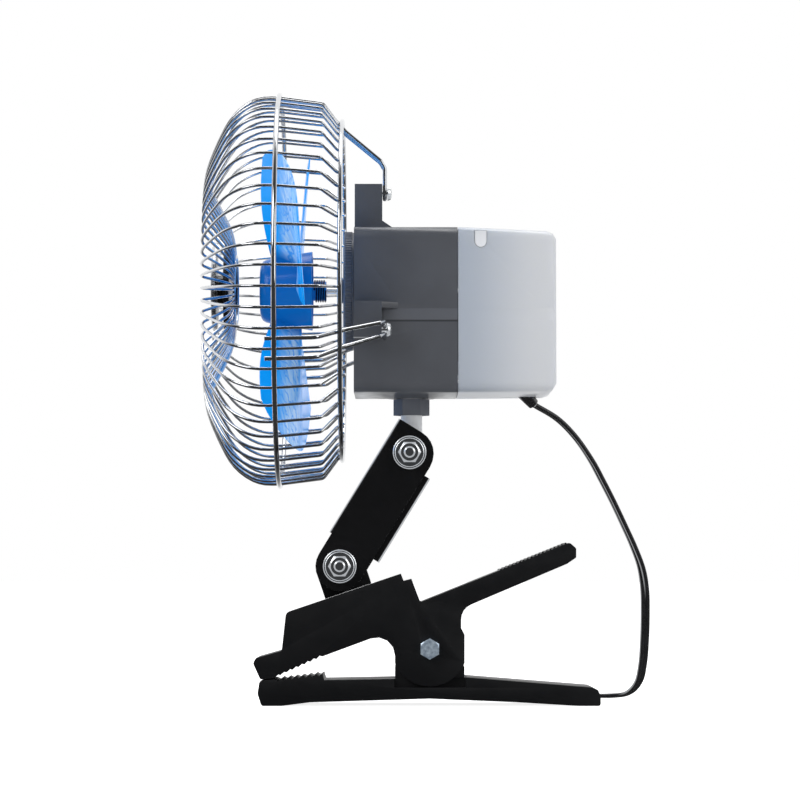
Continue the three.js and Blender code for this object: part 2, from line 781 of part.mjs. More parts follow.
// A plate drawn in X and in distance from the axle, at `phi` round the axle from the near level.
function radialPlate(shape, half, phi, spread = 0) {
  const out = new THREE.Vector3(0, -Math.cos(phi), Math.sin(phi));
  const round = new THREE.Vector3(0, -Math.sin(phi), -Math.cos(phi));
  const geometry = new THREE.ExtrudeGeometry(shape, { depth: 2 * half, bevelEnabled: false });
  geometry.translate(0, 0, spread - half);
  geometry.applyMatrix4(new THREE.Matrix4().makeBasis(new THREE.Vector3(1, 0, 0), out, round));
  geometry.translate(0, 0, axisZ);
  return solid(geometry);
}
function atAxle(x, r, phi, sideways = 0) {
  return [
    x,
    -r * Math.cos(phi) - sideways * Math.sin(phi),
    axisZ + r * Math.sin(phi) - sideways * Math.cos(phi),
  ];
}

const guardScrewR = 1.5;
const lugRoot = 28; // the lugs start inside the housing's wall
const bracketAngles = [bracketTurn, topBracketTurn, Math.PI - bracketTurn];

function frontHousing() {
  const shell = along(housingSection(0), housingFront, housingSplit);
  const hollow = along(housingSection(housingWall), housingFront + housingWall, housingSplit + cutOver);
  const block = (reach) =>
    outline([
      [lugFront, lugRoot],
      [lugRear, lugRoot],
      [lugRear, reach],
      [lugFront, reach],
    ]);
  const gusset = (face) =>
    outline([
      [lugRear - 1, lugRoot],
      [lugRear + 8, lugRoot],
      [lugRear + 8, face],
      [lugRear, face + 5.5],
      [lugRear - 1, face + 5.5],
    ]);
  const upper = join(
    radialPlate(block(screwR + lugPast), lugWide / 2, topBracketTurn),
    radialPlate(gusset(housingTop - axisZ), lugWide / 2, topBracketTurn),
  );
  // The side lugs stand level. Each has its screw low down and a thin gusset along its top.
  const sideReach = screwR * Math.cos(bracketTurn) + lugPast;
  const sideMiddle = -screwR * Math.sin(bracketTurn) + lugPast - sideLugTall / 2;
  const sideLug = (phi, down) =>
    join(
      radialPlate(block(sideReach), sideLugTall / 2, phi, down * sideMiddle),
      radialPlate(gusset(housingHalf - 1), 1.5, phi, down * (sideMiddle - sideLugTall / 2 + 1.5)),
    );
  const blocks = [sideLug(0, 1), upper, sideLug(Math.PI, -1)];
  const lugs = bracketAngles.map((phi, i) =>
    cut(blocks[i], rod(atAxle(lugRear - 8, screwR, phi), atAxle(lugRear + 1, screwR, phi), guardScrewR + seatGap, 10)),
  );
  const flare = rod(
    [neckX, 0, housingBottom - flareDrop],
    [neckX, 0, housingBottom + 0.5],
    floorFlareR * 0.6,
    32,
    floorFlareR,
  );
  const body = join(shell, ...lugs.map((lug) => cut(lug, along(housingSection(0.4), housingFront, housingSplit))), flare);
  const neckHole = neckAt(0, floorTop + cutOver, postR + runGap, 24);
  const axleHole = rod([housingFront - 9, 0, axisZ], [housingFront + 9, 0, axisZ], bossR + 0.6, 24);
  return cut(body, hollow, neckHole, axleHole);
}
add('front_housing', frontHousing(), greyPlastic);

const coverFront = housingSplit + seatGap;
const coverScrewX = 39.3;
const coverScrewZ = 230.4;
const screwPocketR = 3.1;
const rockerAt = { y: -16, z: 222 };
const rockerHalf = { y: 6.5, z: 9.5 };
const bezelLip = 1.5;
const bezelDepth = 1; // the lip lies in a recess and ends level with the cover's back
const bezelFace = housingRear - bezelDepth;

// The rear cover narrows a little to its rounded back, which is built from a few slices.
function rearCover() {
  const slices = (grow, from) => {
    const stations = [
      [from, 0],
      [housingRear - 5 - grow, 0.4],
      [housingRear - 1.6 - grow, 1.6],
      [housingRear - grow, 4.2],
    ];
    return loftAlongX(
      stations.map(([x, draw]) => {
        const share = (x - coverFront) / (housingRear - coverFront);
        return [x, housingSection(grow + draw, housingTop - rearTaper * share)];
      }),
    );
  };
  const outer = slices(0, coverFront);
  const inner = slices(housingWall, coverFront - cutOver);
  const pocket = (side) => {
    const round = rodY(coverScrewX, coverScrewZ, side * (housingHalf - 5), side * (housingHalf + 3), screwPocketR, 16);
    const slot = box(
      [coverScrewX - screwPocketR, side > 0 ? housingHalf - 5 : -housingHalf - 3, coverScrewZ],
      [coverScrewX + screwPocketR, side > 0 ? housingHalf + 3 : 5 - housingHalf, coverScrewZ + 5.5],
    );
    return join(round, slot);
  };
  const boss = (side) => {
    const wall = [side * (housingHalf - 12), side * (housingHalf - 2.4)].sort((a, b) => a - b);
    return rodY(coverScrewX, coverScrewZ, ...wall, screwPocketR + 2.2, 16);
  };
  const bossBore = (side) => rodY(coverScrewX, coverScrewZ, side * 20, side * (housingHalf - 4), 1.8, 10);
  const window = box(
    [housingRear - 9, rockerAt.y - rockerHalf.y, rockerAt.z - rockerHalf.z],
    [housingRear + 9, rockerAt.y + rockerHalf.y, rockerAt.z + rockerHalf.z],
  );
  const lip = bezelLip + seatGap;
  const recess = box(
    [bezelFace - seatGap, rockerAt.y - rockerHalf.y - lip, rockerAt.z - rockerHalf.z - lip],
    [housingRear + 9, rockerAt.y + rockerHalf.y + lip, rockerAt.z + rockerHalf.z + lip],
  );
  const shell = join(cut(outer, inner), boss(-1), boss(1));
  const gland = glandRod(9, -12, glandR + seatGap, glandR + seatGap);
  return cut(shell, pocket(-1), pocket(1), bossBore(-1), bossBore(1), window, recess, gland);
}

// A closed skin through outlines of equal count that stand across X.
function loftAlongX(stations) {
  const rings = stations.map(([x, shape]) => shape.getPoints().slice(0, -1).map((p) => [x, p.x, p.y]));
  const count = rings[0].length;
  const spots = rings.flat(2);
  const faces = [];
  for (let i = 0; i < rings.length - 1; i++) {
    for (let k = 0; k < count; k++) {
      const a = i * count + k;
      const b = i * count + ((k + 1) % count);
      faces.push(a, b, b + count, a, b + count, a + count);
    }
  }
  const flat = rings[0].map(([, y, z]) => new THREE.Vector2(y, z));
  const end = (rings.length - 1) * count;
  for (const [a, b, c] of THREE.ShapeUtils.triangulateShape(flat, [])) {
    faces.push(c, b, a, end + a, end + b, end + c);
  }
  const geometry = new THREE.BufferGeometry();
  geometry.setAttribute('position', new THREE.Float32BufferAttribute(spots, 3));
  geometry.setIndex(faces);
  return solid(geometry);
}

// The cord's boot runs down and out from the rear cover's floor.
const glandR = 3.6;
const glandEndR = 2.9;
const glandLength = 5;
const glandWay = new THREE.Vector3(1, 0.5, -1).normalize();
function glandRod(to, from, radius, endRadius) {
  const place = (run) => glandStart.clone().addScaledVector(glandWay, run).toArray();
  return rod(place(from), place(to), radius, 14, endRadius);
}
add('rear_cover', rearCover(), palePlastic);
add('cord_boot', glandRod(glandLength, -7, glandR, glandEndR), leadSkin);
for (const [name, side] of [['cover_screw_near', -1], ['cover_screw_far', 1]]) {
  const seat = side * (housingHalf - 5 + seatGap);
  const head = [seat, seat + side * 1.6].sort((a, b) => a - b);
  const shank = [seat + side * 0.5, side * 22].sort((a, b) => a - b);
  const body = join(rodY(coverScrewX, coverScrewZ, ...head, 2.6, 14), rodY(coverScrewX, coverScrewZ, ...shank, 1.4, 10));
  add(name, body, zinc);
}

// ---------------------------------------------------------------- switch
function switchBezel() {
  const { y, z } = rockerAt;
  const [wide, tall] = [rockerHalf.y, rockerHalf.z];
  const face = bezelFace;
  const lip = box(
    [face, y - wide - bezelLip, z - tall - bezelLip],
    [face + bezelDepth, y + wide + bezelLip, z + tall + bezelLip],
  );
  const sleeve = box(
    [housingRear - 16, y - wide + seatGap, z - tall + seatGap],
    [face + 0.5, y + wide - seatGap, z + tall - seatGap],
  );
  const well = box([housingRear - 11.5, y - wide + 2, z - tall + 2], [face + 9, y + wide - 2, z + tall - 2]);
  return cut(join(lip, sleeve), well);
}
add('switch_bezel', switchBezel(), blackPlastic);
const rockerPivotX = housingRear - 6;
const rockerTilt = 8; // either way from level, in degrees
function rocker() {
  const [wide, tall] = [rockerHalf.y - 2.4, rockerHalf.z - 3.4];
  const { x, z } = { x: rockerPivotX, z: rockerAt.z };
  const profile = rounded(
    [
      [x - 3.4, z - 2.5, 1],
      [x + 5.2, z - tall, 0.8],
      [x + 4.4, z, 12],
      [x + 5.2, z + tall, 0.8],
      [x - 3.4, z + 2.5, 1],
    ],
    2,
  );
  return across(profile, rockerAt.y - wide, rockerAt.y + wide);
}
add('switch_rocker', rocker(), blackPlastic);

// ---------------------------------------------------------------- motor
const shaftBore = shaftR + runGap;
const nosePlate = housingFront - seatGap;
function motorNose() {
  return turned(
    [
      [bossFront, shaftBore],
      [bossFront, bossR],
      [nosePlate - 5, bossR + 1.2],
      [nosePlate - 5, noseR - 1],
      [nosePlate - 4.4, noseR],
      [nosePlate, noseR],
      [nosePlate, bossR],
      [nosePlate + 4, bossR],
      [nosePlate + 4, shaftBore],
      [bossFront, shaftBore],
    ],
    24,
  );
}
add('motor_nose', motorNose(), greyPlastic);
const canFront = housingFront + housingWall + seatGap + 4;
add(
  'motor_can',
  turned(
    [
      [canFront - 3, shaftBore],
      [canFront - 3, canBossR],
      [canFront, canBossR],
      [canFront, canR],
      [canRear, canR],
      [canRear, canBossR],
      [canRear + 3, canBossR],
      [canRear + 3, shaftBore],
      [canRear - canWall, shaftBore],
      [canRear - canWall, canR - canWall],
      [canFront + canWall, canR - canWall],
      [canFront + canWall, shaftBore],
      [canFront - 3, shaftBore],
    ],
    16,
  ),
  zinc,
);
const wormFront = wheelX - 8;
const wormRear = wheelX + 8;
add(
  'motor_shaft',
  rod([shaftFront, 0, axisZ], [wormRear - 1, 0, axisZ], shaftR, 12),
  zinc,
);

// The worm: a screw thread on a sleeve that the shaft turns with.
function worm() {
  const bore = shaftR + seatGap;
  const core = turned(
    [[wormFront, bore], [wormFront, wormR - 0.7], [wormRear, wormR - 0.7], [wormRear, bore], [wormFront, bore]],
    8,
  );
  const pitch = (TURN * wheelR) / wheelTeeth;
  const turns = 3;
  const steps = turns * 8;
  const points = Array.from({ length: steps + 1 }, (_, i) => {
    const angle = (TURN * i) / 8;
    const x = wheelX + pitch * (i / 8 - turns / 2);
    return new THREE.Vector3(x, (wormR - 0.5) * Math.cos(angle), axisZ + (wormR - 0.5) * Math.sin(angle));
  });
  const thread = tube(points, 0.9, 1.2, 3, () => new THREE.Vector3(1, 0, 0));
  return join(core, thread);
}
add('worm', worm(), brass);

const wheelThick = 4;
const crankLow = linkHigh + seatGap;
const wheelAt = (low, high, radius, sides, y = wheelY) => rod([wheelX, y, low], [wheelX, y, high], radius, sides);
function wormWheel() {
  const shape = new THREE.Shape();
  for (let i = 0; i < wheelTeeth; i++) {
    for (const [share, radius] of [[0, -0.9], [0.35, -0.9], [0.65, 0]]) {
      const angle = (TURN * (i + share)) / wheelTeeth;
      const r = wheelR + radius - 0.2;
      const [x, y] = [wheelX + r * Math.cos(angle), wheelY + r * Math.sin(angle)];
      if (i || share) shape.lineTo(x, y);
      else shape.moveTo(x, y);
    }
  }
  const geometry = new THREE.ExtrudeGeometry(shape, { depth: wheelThick, bevelEnabled: false });
  geometry.translate(0, 0, axisZ - wheelThick / 2);
  const disc = wheelAt(crankLow + 3, crankLow + 6, crankR + 3, 16);
  const pin = wheelAt(crankLow, crankLow + 4, 1.8, 12, wheelY + crankR);
  return join(solid(geometry), wheelAt(crankLow + 3, axisZ + 6, 2.4, 14), disc, pin);
}
add('worm_wheel', wormWheel(), whiteNylon);

// The gear case carries the wheel's upright axle behind the motor.
function gearCase() {
  const low = crankLow + 6 + runGap;
  const block = box([wheelX - 9, wheelY - 8, low], [wheelX + 7, wheelY + 8, axisZ - wheelThick / 2 - runGap]);
  const bridge = box([canRear + seatGap, wheelY - 8, low], [wheelX - 8, wheelY + 8, axisZ - wheelThick / 2 - runGap]);
  return cut(join(block, bridge), wheelAt(0, 999, 2.4 + seatGap, 14));
}
add('gear_case', gearCase(), blackPlastic);

// ---------------------------------------------------------------- rotor
function blade(turn) {
  const rows = 8;
  const columns = 7;
  const root = hubR - 3;
  const spots = [];
  const faces = [];
  const place = (i, k, lift) => {
    const out = i / (rows - 1);
    const round = (2 * k) / (columns - 1) - 1;
    const spread = Math.min(1, out / 0.6);
    const full = 0.8 + 0.2 * spread * (2 - spread);
    const angle = turn + (bladeArc / 2) * full * round;
    const radius = root + (bladeTipR - root) * out * (1 - 0.1 * round ** 4);
    const lead = Math.max(0, round);
    const twist = round < 0 ? 1.35 * out - 0.35 : 0.77 + 0.23 * out;
    const x = bladeMidX - twist * (bladeTrail * round + bladeScoop * lead * lead) + lift * (bladeThick / 2);
    return [x, -radius * Math.cos(angle), axisZ + radius * Math.sin(angle)];
  };
  for (const lift of [-1, 1]) {
    for (let i = 0; i < rows; i++) {
      for (let k = 0; k < columns; k++) spots.push(...place(i, k, lift));
    }
  }
  const layer = rows * columns;
  for (let i = 0; i < rows - 1; i++) {
    for (let k = 0; k < columns - 1; k++) {
      const [a, b] = [i * columns + k, (i + 1) * columns + k];
      faces.push(a, b, b + 1, a, b + 1, a + 1);
      faces.push(layer + a, layer + b + 1, layer + b, layer + a, layer + a + 1, layer + b + 1);
    }
  }
  const rim = [];
  for (let k = 0; k < columns; k++) rim.push(k);
  for (let i = 1; i < rows; i++) rim.push(i * columns + columns - 1);
  for (let k = columns - 2; k >= 0; k--) rim.push((rows - 1) * columns + k);
  for (let i = rows - 2; i > 0; i--) rim.push(i * columns);
  rim.forEach((a, i) => {
    const b = rim[(i + 1) % rim.length];
    faces.push(a, b, layer + b, a, layer + b, layer + a);
  });
  const geometry = new THREE.BufferGeometry();
  geometry.setAttribute('position', new THREE.Float32BufferAttribute(spots, 3));
  geometry.setIndex(faces);
  return solid(geometry);
}

function fanRotor() {
  const bore = shaftR + seatGap;
  const hub = turned(
    [
      [hubFront, 0],
      [hubFront, hubNoseR - 5],
      [hubFront + 1.4, hubNoseR - 1.6],
      [hubFront + 5, hubNoseR],
      [hubRear, hubR],
      [hubRear, hubR - hubWall],
      [hubFront + 6, hubNoseR - hubWall],
      [hubFront + 3, hubNoseR - 6],
      [hubFront + 3, clampBossR],
      [clampBossRear, clampBossR],
      [clampBossRear, bore],
      [shaftFront - seatGap, bore],
      [shaftFront - seatGap, 0],
    ],
    24,
  );
  const core = turned(
    [[hubFront + 1, 0], [hubFront + 1, hubNoseR - 3], [hubRear - 4, hubR - hubWall + 0.5], [hubRear - 4, 0]],
    24,
  );
  const blades = Array.from({ length: bladeCount }, (_, i) => cut(blade(bladeTurn + (i * TURN) / bladeCount), core));
  return join(hub, ...blades);
}
add('fan_rotor', fanRotor(), bluePlastic);

// A coiled wire clamp squeezes the rotor's split boss on the shaft.
function hubClamp() {
  const pitch = 2 * clampWire + 0.45;
  const middle = (hubRear + clampBossRear) / 2 + 0.3;
  const steps = clampTurns * 8;
  const radius = (clampBossR + seatGap + clampWire) / Math.cos(Math.PI / 8); // its flats clear the boss
  const points = Array.from({ length: steps + 1 }, (_, i) => {
    const angle = (TURN * i) / 8;
    const x = middle + pitch * (i / 8 - clampTurns / 2);
    return new THREE.Vector3(x, radius * Math.cos(angle), axisZ + radius * Math.sin(angle));
  });
  return tube(points, 2 * clampWire, 2 * clampWire, 4, () => new THREE.Vector3(1, 0, 0));
}
add('hub_clamp', hubClamp(), springSteel);

// ---------------------------------------------------------------- guard
// The run of one wire, as [X, distance from the axle]: the side, the shoulder, the front bend,
// then back into the dished middle.
const knee = [-39.5, guardR - 3.2];
const shoulder = [-66.5, guardR];
const guardNose = [-98.4, guardR * 0.59]; // the foremost turn of the wires
function spokeRun() {
  const [noseX, noseR] = guardNose;
  return [
    [rearRingX - 1.9, guardR - 13.8],
    knee,
    shoulder,
    [-75, guardR - 2],
    [-81.6, guardR - 6.4],
    [-86.9, guardR - 12.4],
    [noseX + 4.3, noseR + 14.4],
    [noseX, noseR],
    [noseX + 2.6, noseR - 9],
    [noseX + 7.7, noseR - 19.4],
    [hubRingX - 1.9, hubRingR + 13.3],
    [hubRingX, hubRingR],
  ];
}

function alongRun(run, phi, radius, sides) {
  const points = run.map(([x, r]) => new THREE.Vector3(...atAxle(x, r, phi)));
  const round = new THREE.Vector3(0, -Math.sin(phi), -Math.cos(phi));
  return tube(points, 2 * radius, 2 * radius, sides, () => round);
}

// A wire ring about the axle.
function ring(x, radius, wire, sides, around) {
  const profile = Array.from({ length: sides + 1 }, (_, i) => {
    const angle = (TURN * (i + 0.5)) / sides;
    return [x + wire * Math.cos(angle), radius + wire * Math.sin(angle)];
  });
  return turned(profile, around);
}

const spokePitch = TURN / spokeCount;
const wireSection = spokeWire * 1.3; // a three-sided section of about the wire's own area
const guardQuarters = ['near_upper', 'far_upper', 'far_lower', 'near_lower'];
const quarterWires = spokeCount / guardQuarters.length;

// A quarter of the wires with its part of the ring that they are welded to.
function guardQuarter(quarter) {
  const run = spokeRun();
  const first = quarter * quarterWires;
  const spokes = Array.from({ length: quarterWires }, (_, i) =>
    alongRun(run, spokePitch * (first + i + 0.5), wireSection, 3),
  );
  const margin = seatGap / 2 / hubRingR;
  const arc = Array.from({ length: quarterWires + 1 }, (_, i) => {
    const ease = i === 0 ? margin : i === quarterWires ? -margin : 0;
    return new THREE.Vector3(...atAxle(hubRingX, hubRingR, spokePitch * (first + i) + ease));
  });
  const axle = new THREE.Vector3(1, 0, 0);
  return wasm.Manifold.union([tube(arc, 2 * hubRingWire, 2 * hubRingWire, 4, () => axle), ...spokes]);
}
guardQuarters.forEach((name, i) => add(`guard_spokes_${name}`, guardQuarter(i), chrome));
// The ring lies on the wires where they narrow from the shoulder to the knee.
const ringShare = (frontRingX - shoulder[0]) / (knee[0] - shoulder[0]);
const frontRingR = guardR + ringShare * (knee[1] - guardR) + wireSection / 2 + seatGap + frontRingWire * Math.SQRT1_2;
const rearRingR = guardR - 12;
add('guard_front_ring', ring(frontRingX, frontRingR, frontRingWire, 4, spokeCount), chrome);
add('guard_rear_ring', ring(rearRingX, rearRingR, rearRingWire, 4, spokeCount), chrome);

// Each U-shaped bracket lies between the wires, hooks the front ring and turns round its screw.
const eyeX = lugRear + seatGap + bracketWire;
function guardBracket(phi, lean) {
  const legR = guardR - 0.5;
  const leg = [
    [frontRingX - 7.6, legR],
    [-43, legR - 2.1],
    [-40.6, legR - 3.4],
    [rearRingX + 1.8, guardR - 17.2],
    [-10.8, 66.4],
    [eyeX, 62.5],
    [eyeX, screwR + 3],
  ];
  const sideways = (r) => Math.max(bracketEye, r * Math.tan(bracketSpread));
  const turn = (r) => (r > screwR + 9 ? phi + lean : phi);
  const down = leg.map(([x, r]) => new THREE.Vector3(...atAxle(x, r, turn(r), -sideways(r))));
  const back = leg.map(([x, r]) => new THREE.Vector3(...atAxle(x, r, turn(r), sideways(r)))).reverse();
  const bend = Array.from({ length: 7 }, (_, i) => {
    const angle = (Math.PI * i) / 6;
    const r = screwR - bracketEye * Math.sin(angle);
    return new THREE.Vector3(...atAxle(eyeX, r, phi, -bracketEye * Math.cos(angle)));
  });
  const points = [...down, ...bend, ...back];
  const forward = new THREE.Vector3(1, 0, 0);
  const outward = new THREE.Vector3(0, -Math.cos(phi), Math.sin(phi));
  const flatLast = leg.length - 2;
  const up = (i) => (i < flatLast || i >= points.length - flatLast ? outward : forward);
  return tube(points, 2 * bracketWire, 2 * bracketWire, 4, up);
}
['near', 'top', 'far'].forEach((name, i) => {
  const phi = bracketAngles[i];
  add(`guard_bracket_${name}`, guardBracket(phi, [bracketLean, 0, -bracketLean][i]), chrome);
  const seat = eyeX + bracketWire + seatGap;
  const head = rod(atAxle(seat, screwR, phi), atAxle(seat + 2.2, screwR, phi), screwHeadR, 14, screwHeadR * 0.7);
  const shank = rod(atAxle(lugRear - 7, screwR, phi), atAxle(seat + 1, screwR, phi), guardScrewR, 10);
  add(`guard_screw_${name}`, join(head, shank), zinc);
});

// The badge is plain. Its disc sits in the dished middle; the cap stands off on a short stem.
const badgeRear = -86.4;
const badgeFront = badgeRear - 3;
const capRear = badgeFront - 3.6;
add(
  'badge_disc',
  turned(
    [
      [badgeRear, 0],
      [badgeRear, badgeR - 0.6],
      [badgeRear - 0.8, badgeR],
      [badgeFront + 0.8, badgeR],
      [badgeFront, badgeR - 0.8],
      [badgeFront, stemR],
      [capRear, stemR],
      [capRear, 0],
    ],
    28,
  ),
  blackGloss,
);
add(
  'badge_cap',
  turned(
    [
      [capRear - seatGap, 0],
      [capRear - seatGap, capR],
      [capRear - seatGap - 1.6, capR],
      [capRear - seatGap - 2.4, capR - 1],
      [capRear - seatGap - 2.8, 0],
    ],
    28,
  ),
  silverCap,
);

// ---------------------------------------------------------------- lead
const upright = new THREE.Vector3(0, 0, 1);
const leadFloor = leadThick / 2; // middle of the lead where it lies flat
const layerRise = leadThick + 0.6;
const leadPitch = leadWidth + 0.6;

// The coil winds in along the floor, climbs a layer in the half turn where it reverses, and winds out.
function coilPoint(turn) {
  const half = coilTurns / 2;
  const outer = coilMiddleR + (leadPitch * half) / 2;
  const inward = half - Math.abs(turn - half);
  const radius = outer - leadPitch * inward;
  const climb = Math.min(1, Math.max(0, (turn - half) / 0.5 + 0.5));
  const angle = -Math.PI / 2 - TURN * turn;
  return new THREE.Vector3(
    coilAt.x + radius * Math.cos(angle),
    coilAt.y + radius * Math.sin(angle),
    leadFloor + layerRise * climb,
  );
}
const coilSteps = Math.round(coilTurns * 16);
const coilLoops = Array.from({ length: coilSteps + 1 }, (_, i) => coilPoint((coilTurns * i) / coilSteps));
const coilPoints = [
  coilLoops[0].clone().add(new THREE.Vector3(leadWidth, 0, 0)),
  ...coilLoops,
  coilLoops[coilSteps].clone().add(new THREE.Vector3(0, leadWidth, 0)),
];

// Points chosen by hand: out of the boot, down past the clip's heel, and along the floor to the coil.
const bootEnd = glandStart.clone().addScaledVector(glandWay, glandLength + seatGap);
const coilStart = coilPoints[0];
const leadPoints = [
  [80.1, 29.5, 145],
  [89.3, 33.5, 136],
  [97.7, 37, 124.2],
  [103.4, 40, 114],
  [109.1, 43, 103.2],
  [114.9, 46, 91.3],
  [120.4, 49.2, 79.5],
  [124.4, 52.5, 69],
  [126.4, 56, 58],
  [127, 61, 45],
  [127, 67, 31],
  [126.4, 73, 18.5],
  [124.5, 79, 8.8],
  [119, 86.5, 2.6],
  [110, 91.5, leadFloor],
  [96, 93.5, leadFloor],
  [76, 93.2, leadFloor],
  [50, coilStart.y, leadFloor],
  [24, coilStart.y, leadFloor],
].map((p) => new THREE.Vector3(...p));
const leadEnd = coilStart.clone().add(new THREE.Vector3(seatGap, 0, 0));
const coilEnd = coilPoints[coilPoints.length - 1];
const tailStart = coilEnd.clone().add(new THREE.Vector3(0, seatGap, 0));
const plugAt = { x: 14, y: 206, z: 10.8 };
const tailPoints = [
  [coilEnd.x - 0.3, coilEnd.y + 8, coilEnd.z],
  [coilEnd.x, coilEnd.y + 18, 3.4],
  [coilEnd.x + 4, coilEnd.y + 28, 1.5],
  [coilEnd.x + 12, coilEnd.y + 37, 1.3],
  [coilEnd.x + 23, coilEnd.y + 44, 1.6],
  [coilEnd.x + 34, coilEnd.y + 51, 3.6],
  [coilEnd.x + 42, coilEnd.y + 59, 7.6],
  [plugAt.x, plugAt.y - 5, plugAt.z],
].map((p) => new THREE.Vector3(...p));
const tailEnd = new THREE.Vector3(plugAt.x, plugAt.y - seatGap, plugAt.z);

function leadRun(points, steps) {
  const curve = new THREE.CatmullRomCurve3(points, false, 'centripetal');
  return curve.getSpacedPoints(steps);
}
const leadTube = (points, sides) => tube(points, leadWidth, leadThick, sides, () => upright);
add('cord_tube', leadTube(leadRun([bootEnd, ...leadPoints, leadEnd], 48), 8), leadSkin);
add('cord_coil', leadTube(coilPoints, 6), leadSkin);
add('cord_tail', leadTube(leadRun([tailStart, ...tailPoints, tailEnd], 20), 8), leadSkin);

// ---------------------------------------------------------------- plug
const plugR = 10.4;
const plugBody = 44;
const plugBoot = 14;
const plugNose = 16;
const noseTubeR = 7.2;
const tipR = 2.6;
const tipTravel = 3;
const plugY = (run) => plugAt.y + run;
function turnedY(profile, sides) {
  const points = profile.map(([r, y]) => new THREE.Vector2(r, y));
  const geometry = new THREE.LatheGeometry(points, sides);
  geometry.translate(plugAt.x, plugAt.y, plugAt.z);
  return solid(geometry);
}
const contactSlot = 3.4;
function plugShell() {
  const shoulder = plugBoot + plugBody;
  const nose = shoulder + plugNose;
  const shell = turnedY(
    [
      [0, 0],
      [3.2, 0],
      [4.6, plugBoot - 1],
      [plugR - 1, plugBoot],
      [plugR, plugBoot + 2],
      [plugR, shoulder - 6],
      [noseTubeR + 1, shoulder],
      [noseTubeR, shoulder + 1],
      [noseTubeR, nose - 1],
      [noseTubeR - 1, nose],
      [tipR + seatGap, nose],
      [tipR + seatGap, nose - 8],
      [0, nose - 8],
    ],
    16,
  );
  const slot = (side) =>
    box(
      [plugAt.x + side * 10 - 4, plugY(shoulder - 2), plugAt.z - contactSlot / 2],
      [plugAt.x + side * 10 + 4, plugY(nose - 5), plugAt.z + contactSlot / 2],
    );
  return cut(shell, slot(-1), slot(1));
}
add('plug_body', plugShell(), blackPlastic);
add(
  'plug_tip',
  turnedY(
    [
      [0, plugBoot + plugBody + plugNose - 4.5],
      [tipR, plugBoot + plugBody + plugNose - 4.5],
      [tipR, plugBoot + plugBody + plugNose + 2.2],
      [1.4, plugBoot + plugBody + plugNose + 4],
      [0, plugBoot + plugBody + plugNose + 4],
    ],
    14,
  ),
  brass,
);
for (const [name, side] of [['plug_contact_left', -1], ['plug_contact_right', 1]]) {
  const [low, high] = [plugY(plugBoot + plugBody - 1.7), plugY(plugBoot + plugBody + plugNose - 5.3)];
  const bow = new THREE.Shape();
  const inner = plugAt.x + side * (6 + seatGap);
  const reach = plugAt.x + side * 11.5;
  bow.moveTo(inner, low);
  bow.quadraticCurveTo(reach, (low + high) / 2, inner, high);
  bow.lineTo(inner + side, high);
  bow.quadraticCurveTo(reach + side, (low + high) / 2, inner + side, low);
  bow.closePath();
  const geometry = new THREE.ExtrudeGeometry(bow, { depth: contactSlot - 1, bevelEnabled: false, curveSegments: 6 });
  geometry.translate(0, 0, plugAt.z - (contactSlot - 1) / 2);
  add(name, solid(geometry), brass);
}

export default fan;
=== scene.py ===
"""An oscillating clip fan for a vehicle: its looks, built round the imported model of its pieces."""

import json
import math

import bmesh
import bpy
from bpy.props import FloatProperty, FloatVectorProperty, IntProperty, PointerProperty
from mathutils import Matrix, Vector


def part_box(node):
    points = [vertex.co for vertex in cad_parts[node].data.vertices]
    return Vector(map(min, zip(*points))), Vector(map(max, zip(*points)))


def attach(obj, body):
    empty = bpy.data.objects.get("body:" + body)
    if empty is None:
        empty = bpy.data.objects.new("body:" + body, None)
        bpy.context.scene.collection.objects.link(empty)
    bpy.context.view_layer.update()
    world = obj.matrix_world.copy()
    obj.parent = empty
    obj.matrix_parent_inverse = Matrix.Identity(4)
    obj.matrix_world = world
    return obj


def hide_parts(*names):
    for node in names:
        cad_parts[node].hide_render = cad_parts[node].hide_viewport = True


bl_info = {
    "name": "Clip fan",
    "version": (1, 0, 0),
    "blender": (4, 5, 0),
    "location": "3D View > Sidebar > Clip fan",
    "description": "Builds the surfaces of a small oscillating clip fan",
    "category": "Object",
}

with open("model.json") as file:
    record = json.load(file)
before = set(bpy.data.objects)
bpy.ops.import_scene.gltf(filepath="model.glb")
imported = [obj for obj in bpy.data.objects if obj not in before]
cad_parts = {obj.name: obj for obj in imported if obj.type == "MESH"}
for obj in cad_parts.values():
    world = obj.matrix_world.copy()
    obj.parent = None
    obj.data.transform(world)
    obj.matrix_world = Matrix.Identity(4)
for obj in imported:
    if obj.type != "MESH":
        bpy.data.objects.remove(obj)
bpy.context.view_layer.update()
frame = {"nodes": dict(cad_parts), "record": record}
BODY_OF = {
    node: body
    for body, nodes in frame["record"]["behaviour"]["bodies"].items()
    for node in nodes
}
MM = 0.001
TURN = 2 * math.pi

# Places shared by several pieces, in millimetres.
AXLE_Z = 208.5
LOWER_JOINT = (-31.0, 69.3)
UPPER_JOINT = (4.0, 126.4)
CLIP_PIVOT = (14.0, 28.3)
NECK_X = 5.0
BOLT_R = 2.95
THREAD_R = 2.9
POINT = 0.01  # a radius or a step so small that it reads as a point
SCREW_R = 50
BRACKETS = {  # where the screw is, and how far round the legs lean, in degrees
    "near": (-27, 6),
    "top": (93, 0),
    "far": (207, -6),
}
LEAD_WIDE = 4.8
LEAD_THICK = 2.4


# ------------------------------------------------------------------ colours and nodes
def linear(code):
    """An sRGB hex colour as the linear colour that Blender works in."""
    parts = [int(code[i : i + 2], 16) / 255 for i in (1, 3, 5)]
    return (*(c / 12.92 if c <= 0.04045 else ((c + 0.055) / 1.055) ** 2.4 for c in parts), 1.0)


def shaded(colour, factor):
    """A colour made darker or lighter."""
    return (*(min(1, c * factor) for c in colour[:3]), 1.0)


